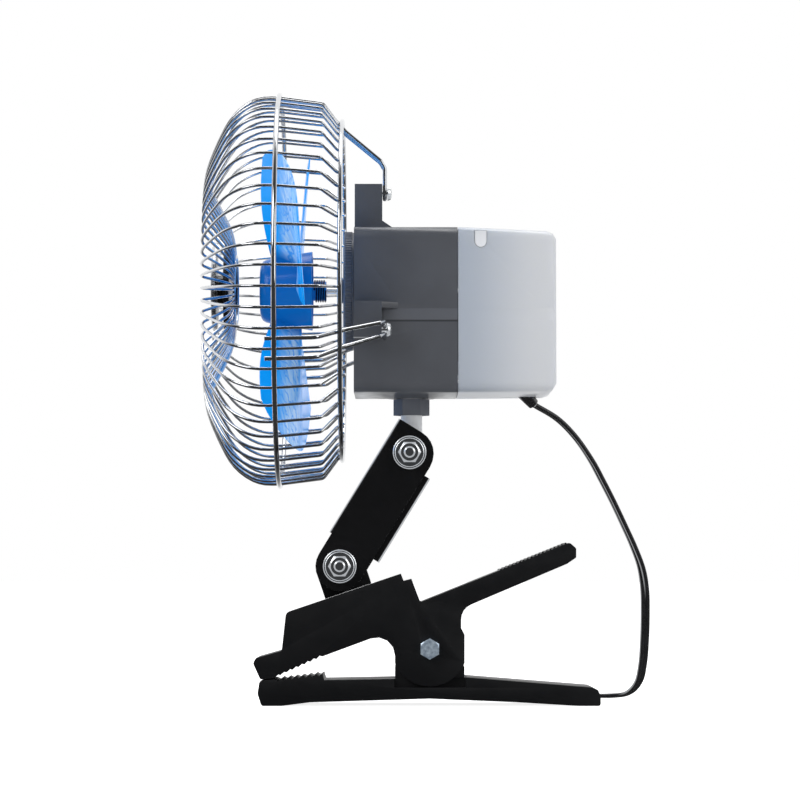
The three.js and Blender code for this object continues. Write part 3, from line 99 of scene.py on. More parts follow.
def add_node(tree, kind, sockets=(), **settings):
    """Adds one shader node. A socket is given a value, or another node's output to be linked to."""
    node = tree.nodes.new("ShaderNode" + kind)
    for name, value in settings.items():
        setattr(node, name, value)
    for name, value in dict(sockets).items():
        if isinstance(value, bpy.types.NodeSocket):
            tree.links.new(value, node.inputs[name])
        else:
            node.inputs[name].default_value = value
    return node


def new_material(name, sockets):
    """A material with one Principled surface whose plain values are given."""
    material = bpy.data.materials.new(name)
    material.use_nodes = True
    tree = material.node_tree
    tree.nodes.clear()
    surface = add_node(tree, "BsdfPrincipled", sockets)
    add_node(tree, "OutputMaterial", {"Surface": surface.outputs[0]})
    return material, tree, surface


def climb(value, start, end, low=0.0, high=1.0):
    """Sockets that turn value's reach from start to end into low to high."""
    return {"Value": value, "From Min": start, "From Max": end, "To Min": low, "To Max": high}


def where(tree):
    """A point's X, Y and Z in the piece's own frame, which at rest is the whole object's."""
    place = add_node(tree, "TexCoord").outputs["Object"]
    return add_node(tree, "SeparateXYZ", {0: place}).outputs


def noise(tree, size_mm, detail, stretch=(1, 1, 1)):
    """A noise whose spots are about size_mm across, fixed to the piece."""
    place = add_node(tree, "TexCoord").outputs["Object"]
    spread = add_node(tree, "Mapping", {"Vector": place, "Scale": stretch}).outputs[0]
    return add_node(
        tree, "TexNoise", {"Vector": spread, "Scale": 1 / (size_mm * MM), "Detail": detail}
    ).outputs["Fac"]


def drift(tree, size_mm, detail, low=0.0, high=1.0, stretch=(1, 1, 1)):
    """Spots about size_mm across whose middle range runs from low to high."""
    spots = noise(tree, size_mm, detail, stretch)
    return add_node(tree, "MapRange", climb(spots, 0.3, 0.7, low, high)).outputs[0]


def between(tree, value, low, high, soft):
    """1 where value lies from low to high, 0 elsewhere, with soft edges."""
    up = add_node(tree, "MapRange", climb(value, low - soft, low)).outputs[0]
    down = add_node(tree, "MapRange", climb(value, high, high + soft, 1.0, 0.0)).outputs[0]
    return add_node(tree, "Math", {0: up, 1: down}, operation="MULTIPLY").outputs[0]


def sideways(tree):
    """How far a face looks along the joint lines, from 0 to 1: chamfers and bends lie between."""
    way = add_node(tree, "NewGeometry").outputs["True Normal"]
    parts = add_node(tree, "SeparateXYZ", {0: way}).outputs
    return add_node(tree, "Math", {0: parts["Y"]}, operation="ABSOLUTE").outputs[0]


def layered(tree, colour, *layers):
    """Colours laid over the first one, each by its own share of the surface."""
    for share, cover in layers:
        mix = add_node(tree, "Mix", {0: share, 6: colour, 7: cover}, data_type="RGBA")
        colour = mix.outputs[2]
    return colour


def coloured(tree, surface, colour, *layers):
    """Gives a surface its colour, and returns the colour for what lies over it."""
    colour = layered(tree, colour, *layers)
    tree.links.new(colour, surface.inputs["Base Color"])
    return colour


def polished(tree, surface, size_mm, detail, low, high):
    """Lets a surface's roughness drift from low to high."""
    rough = drift(tree, size_mm, detail, low, high)
    tree.links.new(rough, surface.inputs["Roughness"])


def relief(tree, surface, size_mm, detail, strength, depth_mm):
    """Raises a surface in spots about size_mm across, depth_mm at most."""
    bump = add_node(
        tree,
        "Bump",
        {
            "Height": noise(tree, size_mm, detail),
            "Strength": strength,
            "Distance": depth_mm * MM,
        },
    )
    tree.links.new(bump.outputs[0], surface.inputs["Normal"])


def lit(tree, surface, share, colour, strength):
    """Paints a pale highlight as a glow where share is 1, for the light that softboxes leave on
    edges and bends.
    """
    surface.inputs["Emission Color"].default_value = colour
    amount = add_node(tree, "Math", {0: share, 1: strength}, operation="MULTIPLY").outputs[0]
    tree.links.new(amount, surface.inputs["Emission Strength"])


# ------------------------------------------------------------------ materials
def moulded_plastic(name, colour, roughness, grain_mm, specular=0.5, glow=0.0):
    """ABS from a spark-eroded mould: an even satin whose fine grain breaks up the highlights.

    The real grain, about 0.1 mm, is too fine to show, so it is drawn near 0.5 mm.
    """
    material, tree, surface = new_material(
        name,
        {
            "Roughness": roughness,
            "IOR": 1.54,
            "Specular IOR Level": specular,
            # glow is painted light: the piece gives off its own colour.
            "Emission Color": tuple(colour),
            "Emission Strength": glow,
        },
    )
    cloud = drift(tree, 22, 2)
    coloured(tree, surface, shaded(colour, 0.93), (cloud, shaded(colour, 1.07)))
    polished(tree, surface, 6, 4, roughness - 0.05, roughness + 0.06)
    relief(tree, surface, grain_mm, 3, 0.35, 0.03)
    return material


def housing_plastic(colour):
    """The housing's grey, with a painted highlight on its waist band, a painted shade line under it,
    and painted floor light on its underside.
    """
    # Metres: heights of the painted highlight band and the painted shade line under it, where the
    # lug ends, and the neck's shadow.
    waist, shade_line_heights = (0.1914, 0.1968), (0.1905, 0.1911)
    lug_rear, far_rear = -0.0085, 1.0
    neck, shadow_in, shadow_out = 0.003, 0.012, 0.022
    material = moulded_plastic("grey_abs", colour, 0.34, 0.5)
    tree = material.node_tree
    surface = next(n for n in tree.nodes if n.bl_idname == "ShaderNodeBsdfPrincipled")
    plain = surface.inputs["Base Color"].links[0].from_socket
    place = add_node(tree, "TexCoord").outputs
    at = add_node(tree, "SeparateXYZ", {0: place["Object"]}).outputs
    facing = add_node(tree, "SeparateXYZ", {0: place["Normal"]}).outputs
    past_lug = between(tree, at["X"], lug_rear, far_rear, 0.0004)
    band, line = (
        add_node(
            tree,
            "Math",
            {0: between(tree, at["Z"], low, high, 0.0003), 1: past_lug},
            operation="MULTIPLY",
        ).outputs[0]
        for low, high in (waist, shade_line_heights)
    )
    # Painted highlight on the waist band, where the side tilts up to the light, and painted shade in
    # the line under it.
    coloured(tree, surface, plain, (band, shaded(colour, 1.3)), (line, shaded(colour, 0.45)))
    # Painted light of the floor on the underside, clear of the neck's shadow.
    under = between(tree, facing["Z"], -1.5, -0.97, 0.02)
    along = add_node(tree, "Math", {0: at["X"], 1: neck}, operation="SUBTRACT").outputs[0]
    apart = add_node(tree, "Math", {0: along}, operation="ABSOLUTE").outputs[0]
    clear = add_node(tree, "MapRange", climb(apart, shadow_in, shadow_out)).outputs[0]
    open_floor = add_node(tree, "Math", {0: under, 1: clear}, operation="MULTIPLY").outputs[0]
    lit(tree, surface, open_floor, linear("#eff1f3"), 0.2)
    return material


def zinc_plate():
    """Bright zinc on pressed and turned steel: pale blue-grey, with a faint cloudy passivation.

    Chamfers and rims get a painted highlight, and the flats a painted dark reflection of the dim
    side of the room.
    """
    material, tree, surface = new_material(
        "zinc_plated_steel", {"Metallic": 1.0, "Roughness": 0.24}
    )
    facing = sideways(tree)
    # Painted highlight on chamfers and rims.
    chamfer = between(tree, facing, 0.45, 0.95, 0.03)
    edges = add_node(tree, "MapRange", {"Value": chamfer, "To Min": 0.05, "To Max": 0.6})
    lit(tree, surface, edges.outputs[0], linear("#d3d7dc"), 1.0)
    # Flats that face the sides are painted darker: a painted reflection of the dim side of the room.
    flat = between(tree, facing, 0.99, 2.0, 0.01)
    cloud = drift(tree, 3.5, 3)
    coloured(
        tree,
        surface,
        linear("#b9bdc0"),
        (cloud, linear("#dfe0de")),
        (flat, linear("#5b5f64")),
    )
    polished(tree, surface, 1.6, 2, 0.2, 0.3)
    return material


def blue_zinc():
    """Blue-passivated zinc on the clip's pivot bolt, with a painted glow all over that keeps its
    head pale.
    """
    material, tree, surface = new_material(
        "blue_zinc_plated_steel",
        {"Metallic": 0.7, "Roughness": 0.34, "Emission Strength": 0.28},
    )
    cloud = drift(tree, 1.8, 2)
    shade = coloured(tree, surface, linear("#8695a6"), (cloud, linear("#bccad6")))
    # The colour glows as well: painted light, at the strength set above.
    tree.links.new(shade, surface.inputs["Emission Color"])
    return material


def chrome_plate(colour):
    """Chrome on drawn wire: a hard mirror with the faint ripple of the die along it.

    The real die lines are finer than 0.1 mm, and are drawn as a 1.6 mm ripple so that they show.
    """
    material, tree, surface = new_material(
        "chrome_plated_wire",
        {"Metallic": 1.0, "Roughness": 0.1, "Base Color": tuple(colour)},
    )
    polished(tree, surface, 2.2, 2, 0.06, 0.16)
    relief(tree, surface, 1.6, 1, 0.1, 0.02)
    return material


def painted_steel(colour):
    """Black enamel on folded steel: a soft gloss over a slight orange peel, with a painted highlight
    along bends.
    """
    material, tree, surface = new_material(
        "black_enamelled_steel",
        {
            "IOR": 1.5,
            "Specular IOR Level": 0.45,
            "Coat Weight": 0.12,
            "Coat Roughness": 0.2,
        },
    )
    cloud = drift(tree, 14, 3)
    coloured(tree, surface, shaded(colour, 0.9), (cloud, shaded(colour, 1.2)))
    polished(tree, surface, 2.5, 3, 0.34, 0.48)
    relief(tree, surface, 0.9, 2, 0.3, 0.03)
    # Painted highlight along the bends and edges.
    bend_highlight = between(tree, sideways(tree), 0.12, 0.76, 0.04)
    lit(tree, surface, bend_highlight, linear("#dfe2e6"), 0.6)
    return material


def clear_styrene(colour):
    """Tinted styrene: the thin blades pass some light, which a painted glow stands for, and the
    doubled hub is a deeper blue.

    The blades' middle carries a painted pale reflection, with veins of deeper blue in it.
    """
    # Metres: how far out from the axle the hub's blue fades, and where along it the painted
    # reflection does.
    hub_edge, blade_root = 0.0195, 0.026
    reflection_front = (-0.0625, -0.0575)
    reflection_rear = (-0.0525, -0.0505)
    material, tree, surface = new_material(
        "tinted_clear_styrene",
        {
            "Roughness": 0.18,
            "IOR": 1.57,
            "Alpha": 0.96,
            "Specular IOR Level": 0.25,
            # A painted glow of the surface's colour stands for light passing through the blades.
            "Emission Strength": 0.34,
        },
    )
    at = where(tree)
    height = add_node(tree, "Math", {0: at["Z"], 1: AXLE_Z * MM}, operation="SUBTRACT")
    flat = add_node(tree, "CombineXYZ", {"X": at["Y"], "Y": height.outputs[0]}).outputs[0]
    away = add_node(tree, "VectorMath", {0: flat}, operation="LENGTH").outputs["Value"]
    blades = add_node(tree, "MapRange", climb(away, hub_edge, blade_root)).outputs[0]
    front = add_node(tree, "MapRange", climb(at["X"], *reflection_front)).outputs[0]
    rear = add_node(tree, "MapRange", climb(at["X"], *reflection_rear, 1.0, 0.0)).outputs[0]
    middle = add_node(tree, "Math", {0: front, 1: rear}, operation="MULTIPLY").outputs[0]
    streaks = drift(tree, 5, 3, 0.25, 1.0, (0.5, 2.2, 0.35))
    wave = add_node(
        tree,
        "TexWave",
        {
            "Vector": add_node(tree, "TexCoord").outputs["Object"],
            "Scale": 70.0,  # a band about every 5 mm
            "Distortion": 11.0,
            "Detail": 3.0,
            "Detail Scale": 1.6,
        },
        wave_type="BANDS",
        bands_direction="DIAGONAL",
    ).outputs["Fac"]
    veins = add_node(tree, "MapRange", climb(wave, 0.02, 0.2, 0.8, 0.0)).outputs[0]
    # The painted reflection, broken into streaks, and the veins within it.
    painted_reflection, veined = (
        add_node(tree, "Math", {0: middle, 1: pattern}, operation="MULTIPLY").outputs[0]
        for pattern in (streaks, veins)
    )
    blade_colour = layered(
        tree,
        shaded(colour, 0.96),
        (drift(tree, 30, 2), shaded(colour, 1.04)),
        (painted_reflection, linear("#b2d6f8")),
        (veined, linear("#2b93ea")),
    )
    both = coloured(tree, surface, linear("#0860b0"), (blades, blade_colour))
    tree.links.new(both, surface.inputs["Emission Color"])
    relief(tree, surface, 9, 1, 0.15, 0.05)
    return material


def milky_cover(colour):
    """Glossy polypropylene, thin, with a painted soft grey shade of the motor behind its front edge.
    """
    material, tree, surface = new_material(
        "milky_polypropylene",
        {
            "Roughness": 0.28,
            "IOR": 1.49,
            "Subsurface Weight": 0.25,
            "Subsurface Radius": (0.004, 0.004, 0.005),
            "Subsurface Scale": 1.0,
        },
    )
    cover_front, motor_rear = 0.028, 0.072  # metres along the fan's axle
    # Painted shade of the motor inside, darkest at the cover's front edge and fading towards its
    # rear.
    shade = climb(where(tree)["X"], cover_front, motor_rear, 1.0, 0.0)
    motor = add_node(tree, "MapRange", shade, interpolation_type="SMOOTHSTEP").outputs[0]
    coloured(tree, surface, tuple(colour), (motor, linear("#bcc4cf")))
    relief(tree, surface, 0.6, 2, 0.15, 0.02)
    return material


def cable_jacket(colour):
    """Soft PVC, extruded: smooth along its length, with a painted highlight on the side that faces
    -X.
    """
    material, tree, surface = new_material(
        "extruded_pvc", {"IOR": 1.53, "Specular IOR Level": 0.6}
    )
    cloud = drift(tree, 8, 2)
    coloured(tree, surface, shaded(colour, 0.85), (cloud, shaded(colour, 1.2)))
    polished(tree, surface, 3, 2, 0.18, 0.28)
    relief(tree, surface, 1.2, 1, 0.12, 0.03)
    # Painted highlight: a pale glow on the side that faces -X.
    way = add_node(tree, "NewGeometry").outputs["Normal"]
    facing = add_node(tree, "SeparateXYZ", {0: way}).outputs
    side_highlight = add_node(tree, "MapRange", climb(facing["X"], -0.5, -0.75, 0.0, 0.4)).outputs[0]
    surface.inputs["Emission Color"].default_value = linear("#d8dadd")
    tree.links.new(side_highlight, surface.inputs["Emission Strength"])
    return material


def plain_metal(name, low, high, roughness, spot_mm):
    """A metal whose colour and polish drift a little over the piece."""
    material, tree, surface = new_material(name, {"Metallic": 1.0})
    cloud = drift(tree, spot_mm, 3)
    coloured(tree, surface, linear(low), (cloud, linear(high)))
    polished(tree, surface, spot_mm / 4, 2, roughness - 0.05, roughness + 0.07)
    return material


def finishes():
    """The object's materials by short name, made once from the panel's colours."""
    kept = {m["fan_finish"]: m for m in bpy.data.materials if "fan_finish" in m}
    if kept:
        return kept
    look = bpy.context.scene.clip_fan
    grey = look.housing_colour
    made = {
        "clip": moulded_plastic("satin_black_abs", look.clip_colour, 0.42, 0.45, 0.4),
        "housing": housing_plastic(grey),
        # The housing grey made lighter: painted light against the shadow under the head.
        "collar": moulded_plastic("matt_grey_abs", shaded(grey, 1.65), 0.62, 0.5, 0.12),
        "plug": moulded_plastic("pale_plug", linear("#f2f4f7"), 0.4, 0.5, 0.3),
        # The post is lightened and glows: painted light against the head's shadow.
        "post": moulded_plastic("light_grey_nylon", look.post_colour, 0.45, 0.5, 0.5, 0.16),
        "nose": moulded_plastic("smooth_grey_abs", shaded(grey, 1.6), 0.36, 0.6),
        "badge": moulded_plastic("polished_black_abs", linear("#0f1013"), 0.14, 0.8),
        "nylon": moulded_plastic("natural_nylon", linear("#e4e1d8"), 0.5, 0.5),
        "cover": milky_cover(look.cover_colour),
        "rotor": clear_styrene(look.rotor_colour),
        "chrome": chrome_plate(look.wire_colour),
        "zinc": zinc_plate(),
        "pivot": blue_zinc(),
        "steel": painted_steel(look.steel_colour),
        "jacket": cable_jacket(look.lead_colour),
        "spring": plain_metal("oiled_spring_wire", "#1b2740", "#3a4660", 0.3, 2),
        "foil": plain_metal("satin_foil", "#b9bdc4", "#dcdfe4", 0.26, 5),
        "brass": plain_metal("turned_brass", "#a8823c", "#c9a45a", 0.3, 3),
    }
    for short, material in made.items():
        material["fan_finish"] = short
    return made


# ------------------------------------------------------------------ mesh helpers
def span(node, axis):
    """A CAD node's lowest and highest place along one axis, in millimetres."""
    return [getattr(corner, axis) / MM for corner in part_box(node)]


def set_down(name, mesh, finish, body, nodes=(), sharp=35):
    """Puts a mesh in the scene with its finish, on its body, in place of CAD nodes."""
    mesh.polygons.foreach_set("use_smooth", [True] * len(mesh.polygons))
    if sharp is not None:
        mesh.set_sharp_from_angle(angle=math.radians(sharp))
    piece = bpy.data.objects.new(name, mesh)
    bpy.context.scene.collection.objects.link(piece)
    mesh.materials.clear()
    mesh.materials.append(finishes()[finish])
    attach(piece, body)
    if nodes:
        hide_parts(*nodes)
    return piece


def from_faces(name, points, faces, finish, body, nodes=(), sharp=35):
    """A piece from points in millimetres and faces."""
    mesh = bpy.data.meshes.new(name)
    mesh.from_pydata([[c * MM for c in p] for p in points], [], faces)
    skin = bmesh.new()
    skin.from_mesh(mesh)
    bmesh.ops.remove_doubles(skin, verts=skin.verts, dist=1e-6)
    bmesh.ops.recalc_face_normals(skin, faces=skin.faces)
    skin.to_mesh(mesh)
    skin.free()
    return set_down(name, mesh, finish, body, nodes, sharp)


def long_bends(skin):
    """The outer edges along which a folded channel's broad web turns into its sides."""
    shortest, broad = 22 * MM, 250 * MM * MM
    widest = max(abs(v.co.y) for v in skin.verts)
    return [
        edge
        for edge in skin.edges
        if edge.calc_length() > shortest
        and len(edge.link_faces) == 2
        and all(abs(v.co.y) > widest - 0.4 * MM for v in edge.verts)
        and max(abs(f.normal.y) for f in edge.link_faces) > 0.9
        and any(abs(f.normal.y) < 0.1 and f.calc_area() > broad for f in edge.link_faces)
    ]


def eased(node, finish, width_mm, sharp=32, name=None, creases=(), moved=(0, 0, 0), fold=0):
    """A moulded or folded piece with its edges eased: the CAD node's shape, less its hard corners.

    creases are heights at which a shallow edge stays crisp. moved closes a running gap that would
    show. fold is the outer radius of the long bends in folded sheet.
    """
    name = name or node + "_skin"
    skin = bmesh.new()
    skin.from_mesh(frame["nodes"][node].data)
    bmesh.ops.remove_doubles(skin, verts=skin.verts, dist=2e-6)
    bmesh.ops.dissolve_limit(
        skin, angle_limit=math.radians(0.6), verts=skin.verts, edges=skin.edges
    )
    for edge in skin.edges:
        if any(all(abs(v.co.z / MM - height) < 0.3 for v in edge.verts) for height in creases):
            edge.smooth = False
    if fold:
        rounded = bmesh.ops.bevel(
            skin,
            geom=long_bends(skin),
            offset=fold * MM,
            segments=5,
            profile=0.5,
            affect="EDGES",
            clamp_overlap=False,
        )
        for face in rounded["faces"]:
            for edge in face.edges:
                edge.smooth = False
    bmesh.ops.translate(skin, verts=skin.verts, vec=[c * MM for c in moved])
    mesh = bpy.data.meshes.new(name)
    skin.to_mesh(mesh)
    skin.free()
    piece = bpy.data.objects.new(name, mesh)
    bpy.context.scene.collection.objects.link(piece)
    mesh.polygons.foreach_set("use_smooth", [True] * len(mesh.polygons))
    bevel = piece.modifiers.new("eased", "BEVEL")
    bevel.width = width_mm * MM
    bevel.segments = 2
    bevel.limit_method = "ANGLE"
    bevel.angle_limit = math.radians(sharp)
    bevel.use_clamp_overlap = True
    bevel.miter_outer = "MITER_ARC"
    bevel.harden_normals = not fold
    ready = bpy.data.meshes.new_from_object(
        piece.evaluated_get(bpy.context.evaluated_depsgraph_get())
    )
    bpy.data.objects.remove(piece)
    bpy.data.meshes.remove(mesh)
    ready.name = name
    return set_down(name, ready, finish, BODY_OF[node], [node], 12 if fold else None)


def gathered(*parts):
    """Several point-and-face sets as one."""
    spots, faces = [], []
    for more_spots, more_faces in parts:
        start = len(spots)
        spots.extend(more_spots)
        faces.extend(tuple(start + i for i in face) for face in more_faces)
    return spots, faces


def laced(rings, sides, closed=False):
    """Faces along rings of points, with caps where the run is open."""
    faces = []
    for i in range(rings if closed else rings - 1):
        j = (i + 1) % rings
        for k in range(sides):
            m = (k + 1) % sides
            faces.append((i * sides + k, i * sides + m, j * sides + m, j * sides + k))
    if not closed:
        faces.append(tuple(range(sides))[::-1])
        faces.append(tuple(range((rings - 1) * sides, rings * sides)))
    return faces


def tube(points, radius, sides=10, closed=False):
    """Points and faces of a round wire along points, with capped ends."""
    path = [Vector(p) for p in points]
    count = len(path)
    spots = []
    across = None
    for i, here in enumerate(path):
        if closed:
            along = path[(i + 1) % count] - path[i - 1]
        else:
            along = path[min(i + 1, count - 1)] - path[max(i - 1, 0)]
        along.normalize()
        if across is None:
            across = along.orthogonal().normalized()
        across = (across - along * across.dot(along)).normalized()
        up = along.cross(across)
        for k in range(sides):
            angle = TURN * k / sides
            side, rise = radius * math.cos(angle), radius * math.sin(angle)
            spots.append(here + across * side + up * rise)
    return spots, laced(count, sides, closed)


def spun(profile, sides, place, closed=False):
    """A profile of (along, out) turned about an axle. place(along, out, angle) gives the point.

    Where the shape changes on its way round, profile is a function that gives it at an angle.
    closed joins the profile's last point to its first.
    """
    spots = []
    for k in range(sides):
        angle = TURN * k / sides
        row = profile(angle) if callable(profile) else profile
        spots += [place(along, out, angle) for along, out in row]
    rows = len(row)
    faces = []
    for k in range(sides):
        m = (k + 1) % sides
        for i in range(rows if closed else rows - 1):
            j = (i + 1) % rows
            faces.append((k * rows + i, k * rows + j, m * rows + j, m * rows + i))
    return spots, faces


def on_axle(x, r, angle):
    """A point about the fan's axle, level with it on the near side at angle 0."""
    return (x, -r * math.cos(angle), AXLE_Z + r * math.sin(angle))


def at_joint(x0, z0, flip=1):
    """Places (along, out, angle) about a line across the arm. flip=-1 faces the near side."""
    return lambda along, out, angle: (
        x0 + out * math.cos(angle),
        flip * along,
        z0 + out * math.sin(angle),
    )


def bend(points, radius, steps=6):
    """A wire's corners rounded to radius."""
    path = [Vector(p) for p in points]
    straight = math.radians(88)
    out = [path[0]]
    for before, here, after in zip(path, path[1:], path[2:]):
        back = (before - here).normalized()
        ahead = (after - here).normalized()
        half = back.angle(ahead) / 2
        if half > straight:
            out.append(here)
            continue
        reach = min(
            radius / math.tan(half),
            0.48 * (before - here).length,
            0.48 * (after - here).length,
        )
        start, end = here + back * reach, here + ahead * reach
        for i in range(steps + 1):
            t = i / steps
            out.append(start * (1 - t) ** 2 + here * (2 * t * (1 - t)) + end * t**2)
    out.append(path[-1])
    return out


def flowing(points, steps):
    """A centripetal curve through points."""
    path = [Vector(p) for p in points]
    ends = [2 * path[0] - path[1], *path, 2 * path[-1] - path[-2]]
    out = [path[0]]
    for i in range(1, len(ends) - 2):
        a, b, c, d = ends[i - 1 : i + 3]
        ta, tb, tc = ((q - p).length ** 0.5 for p, q in ((a, b), (b, c), (c, d)))
        first = ((b - a) / ta - (c - a) / (ta + tb) + (c - b) / tb) * tb
        last = ((c - b) / tb - (d - b) / (tb + tc) + (d - c) / tc) * tb
        for k in range(1, steps + 1):
            t = k / steps
            out.append(
                b * (2 * t**3 - 3 * t**2 + 1)
                + first * (t**3 - 2 * t**2 + t)
                + c * (3 * t**2 - 2 * t**3)
                + last * (t**3 - t**2)
            )
    return out


# ------------------------------------------------------------------ what a user may change
COLOUR = {"subtype": "COLOR", "size": 4}
LENGTH = {"unit": "LENGTH", "precision": 5}


class ClipFanSettings(bpy.types.PropertyGroup):
    """Colours and wire sizes of the fan."""

    clip_colour: FloatVectorProperty(
        name="Clip",
        description="Colour of the clip's plastic",
        default=linear("#141518"),
        **COLOUR,
    )
    housing_colour: FloatVectorProperty(
        name="Housing",
        description="Colour of the front housing",
        default=linear("#585b61"),
        **COLOUR,
    )
    cover_colour: FloatVectorProperty(
        name="Rear cover",
        description="Colour of the milky rear cover",
        default=linear("#e0e3e8"),
        **COLOUR,
    )
    # Lighter than the real post: painted light against the head's shadow.
    post_colour: FloatVectorProperty(
        name="Post",
        description="Colour of the neck post",
        default=linear("#dcdee0"),
        **COLOUR,
    )
    rotor_colour: FloatVectorProperty(
        name="Blades",
        description="Colour of the clear blades and hub",
        default=linear("#069cf6"),
        **COLOUR,
    )
    wire_colour: FloatVectorProperty(
        name="Guard wires",
        description="Colour of the chromed wires",
        default=linear("#dcdee1"),
        **COLOUR,
    )
    steel_colour: FloatVectorProperty(
        name="Arm",
        description="Colour of the enamelled arm",
        default=linear("#101013"),
        **COLOUR,
    )
    lead_colour: FloatVectorProperty(
        name="Lead",
        description="Colour of the lead's jacket",
        default=linear("#262628"),
        **COLOUR,
    )
    wire_count: IntProperty(
        name="Wires", description="Number of wires in the guard", default=60, min=12, max=120
    )
    wire_diameter: FloatProperty(
        name="Wire", description="Diameter of a guard wire", default=1.5 * MM, **LENGTH
    )
    ring_diameter: FloatProperty(
        name="Front ring wire",
        description="Diameter of the front ring's wire",
        default=2.6 * MM,
        **LENGTH,
    )
    rear_ring_diameter: FloatProperty(
        name="Rear ring wire",
        description="Diameter of the rear ring's wire",
        default=2.4 * MM,
        **LENGTH,
    )
    bracket_diameter: FloatProperty(
        name="Bracket wire",
        description="Diameter of the guard brackets' wire",
        default=2.2 * MM,
        **LENGTH,
    )
    blade_thickness: FloatProperty(
        name="Blade", description="Thickness of a blade", default=1.6 * MM, **LENGTH
    )


# ------------------------------------------------------------------ stage
SENSOR = 36
PHOTO_WIDE = 800
PIXEL = 0.505 * MM  # one pixel of the photograph at the fan's middle plane
CAMERA_AT = (-0.0008, -1.8, 0.065)  # metres
CAMERA_RAISED = 2.81  # degrees that the camera looks up
SOFTBOXES = (  # name, place, what it points at, size in metres, power in watts
    ("key_softbox", (-1.5, -1.3, 1.5), (0, 0, 0.2), (1.1, 1.1), 16),
    ("fill_softbox", (1.6, -1.1, 0.9), (0, 0, 0.15), (0.9, 1.3), 8),
    ("top_softbox", (0.1, 0.5, 1.9), (0, 0, 0.2), (1.4, 0.9), 14),
)
WHITE, BLACK = (1, 1, 1, 1), (0, 0, 0, 1)
ROOM = (0.42, 0.42, 0.425, 1)  # the plain light from all round
FLOOR_HALF = 30  # metres


class FAN_OT_stage(bpy.types.Operator):
    """The camera at the photograph's angle, a pale floor, and soft lights"""

    bl_idname = "clip_fan.stage"
    bl_label = "Stage"

    def execute(self, context):
        scene = context.scene
        scene.view_settings.view_transform = "Standard"
        self.camera(scene)
        self.backdrop(scene)
        self.floor(scene)
        for name, place, aim, size, power in SOFTBOXES:
            light = bpy.data.lights.new(name, "AREA")
            light.shape = "RECTANGLE"
            light.size, light.size_y = size
            light.energy = power
            lamp = bpy.data.objects.new(name, light)
            lamp.location = place
            way = Vector(aim) - Vector(place)
            lamp.rotation_euler = way.to_track_quat("-Z", "Y").to_euler()
            scene.collection.objects.link(lamp)
        return {"FINISHED"}

    def camera(self, scene):
        """A long lens on the near side, low and as far off as the photograph was taken."""
        lens = bpy.data.cameras.new("side_view")
        lens.sensor_width = SENSOR
        lens.lens = SENSOR * -CAMERA_AT[1] / (PHOTO_WIDE * PIXEL)
        lens.clip_end = 50
        camera = bpy.data.objects.new("side_view", lens)
        camera.location = CAMERA_AT
        camera.rotation_euler = (math.radians(90 + CAMERA_RAISED), 0, 0)
        scene.collection.objects.link(camera)
        scene.camera = camera

    def backdrop(self, scene):
        """White behind the fan for the eye and for reflections, and dimmer on the near side."""
        world = bpy.data.worlds.new("studio")
        scene.world = world
        world.use_nodes = True
        tree = world.node_tree
        tree.nodes.clear()
        place = add_node(tree, "TexCoord").outputs["Generated"]
        way = add_node(tree, "SeparateXYZ", {0: place}).outputs
        side = add_node(
            tree,
            "MapRange",
            climb(way["Y"], -0.25, 0.45, 0.05, 1.0),
            interpolation_type="SMOOTHSTEP",
        ).outputs[0]
        rays = add_node(tree, "LightPath").outputs
        shiny = add_node(
            tree,
            "Math",
            {0: rays["Is Glossy Ray"], 1: rays["Is Transmission Ray"]},
            operation="MAXIMUM",
        ).outputs[0]
        plain, mirrored, white = (
            add_node(tree, "Background", {"Color": colour, "Strength": strength}).outputs[0]
            for colour, strength in ((ROOM, 1.0), (WHITE, side), (WHITE, 1.0))
        )
        room = add_node(tree, "MixShader", {0: shiny, 1: plain, 2: mirrored}).outputs[0]
        seen = add_node(tree, "MixShader", {0: rays["Is Camera Ray"], 1: room, 2: white})
        add_node(tree, "OutputWorld", {"Surface": seen.outputs[0]})

    def floor(self, scene):
        """A pale matt floor that reads white to the eye and still takes the fan's shadow."""
        mesh = bpy.data.meshes.new("floor")
        half = FLOOR_HALF
        corners = [(-half, -half, 0), (half, -half, 0), (half, half, 0), (-half, half, 0)]
        mesh.from_pydata(corners, [], [(0, 1, 2, 3)])
        floor = bpy.data.objects.new("floor", mesh)
        scene.collection.objects.link(floor)
        material, tree, surface = new_material(
            "pale_matt_card",
            {"Base Color": linear("#f3f3f3"), "Roughness": 0.9, "Specular IOR Level": 0.1},
        )
        rays = add_node(tree, "LightPath").outputs
        far = add_node(
            tree,
            "MapRange",
            climb(where(tree)["Y"], 0.0, 0.6, 0.04, 0.95),
            interpolation_type="SMOOTHSTEP",
        ).outputs[0]
        nothing, glow, mirrored = (
            add_node(tree, "Emission", {"Color": colour, "Strength": strength}).outputs[0]
            for colour, strength in ((BLACK, 0.0), (WHITE, 0.85), (WHITE, far))
        )
        seen = add_node(tree, "MixShader", {0: rays["Is Camera Ray"], 1: nothing, 2: glow})
        card = add_node(tree, "AddShader", {0: surface.outputs[0], 1: seen.outputs[0]}).outputs[0]
        total = add_node(tree, "MixShader", {0: rays["Is Glossy Ray"], 1: card, 2: mirrored})
        out = next(n for n in tree.nodes if n.bl_idname == "ShaderNodeOutputMaterial")
        tree.links.new(total.outputs[0], out.inputs["Surface"])
        mesh.materials.append(material)


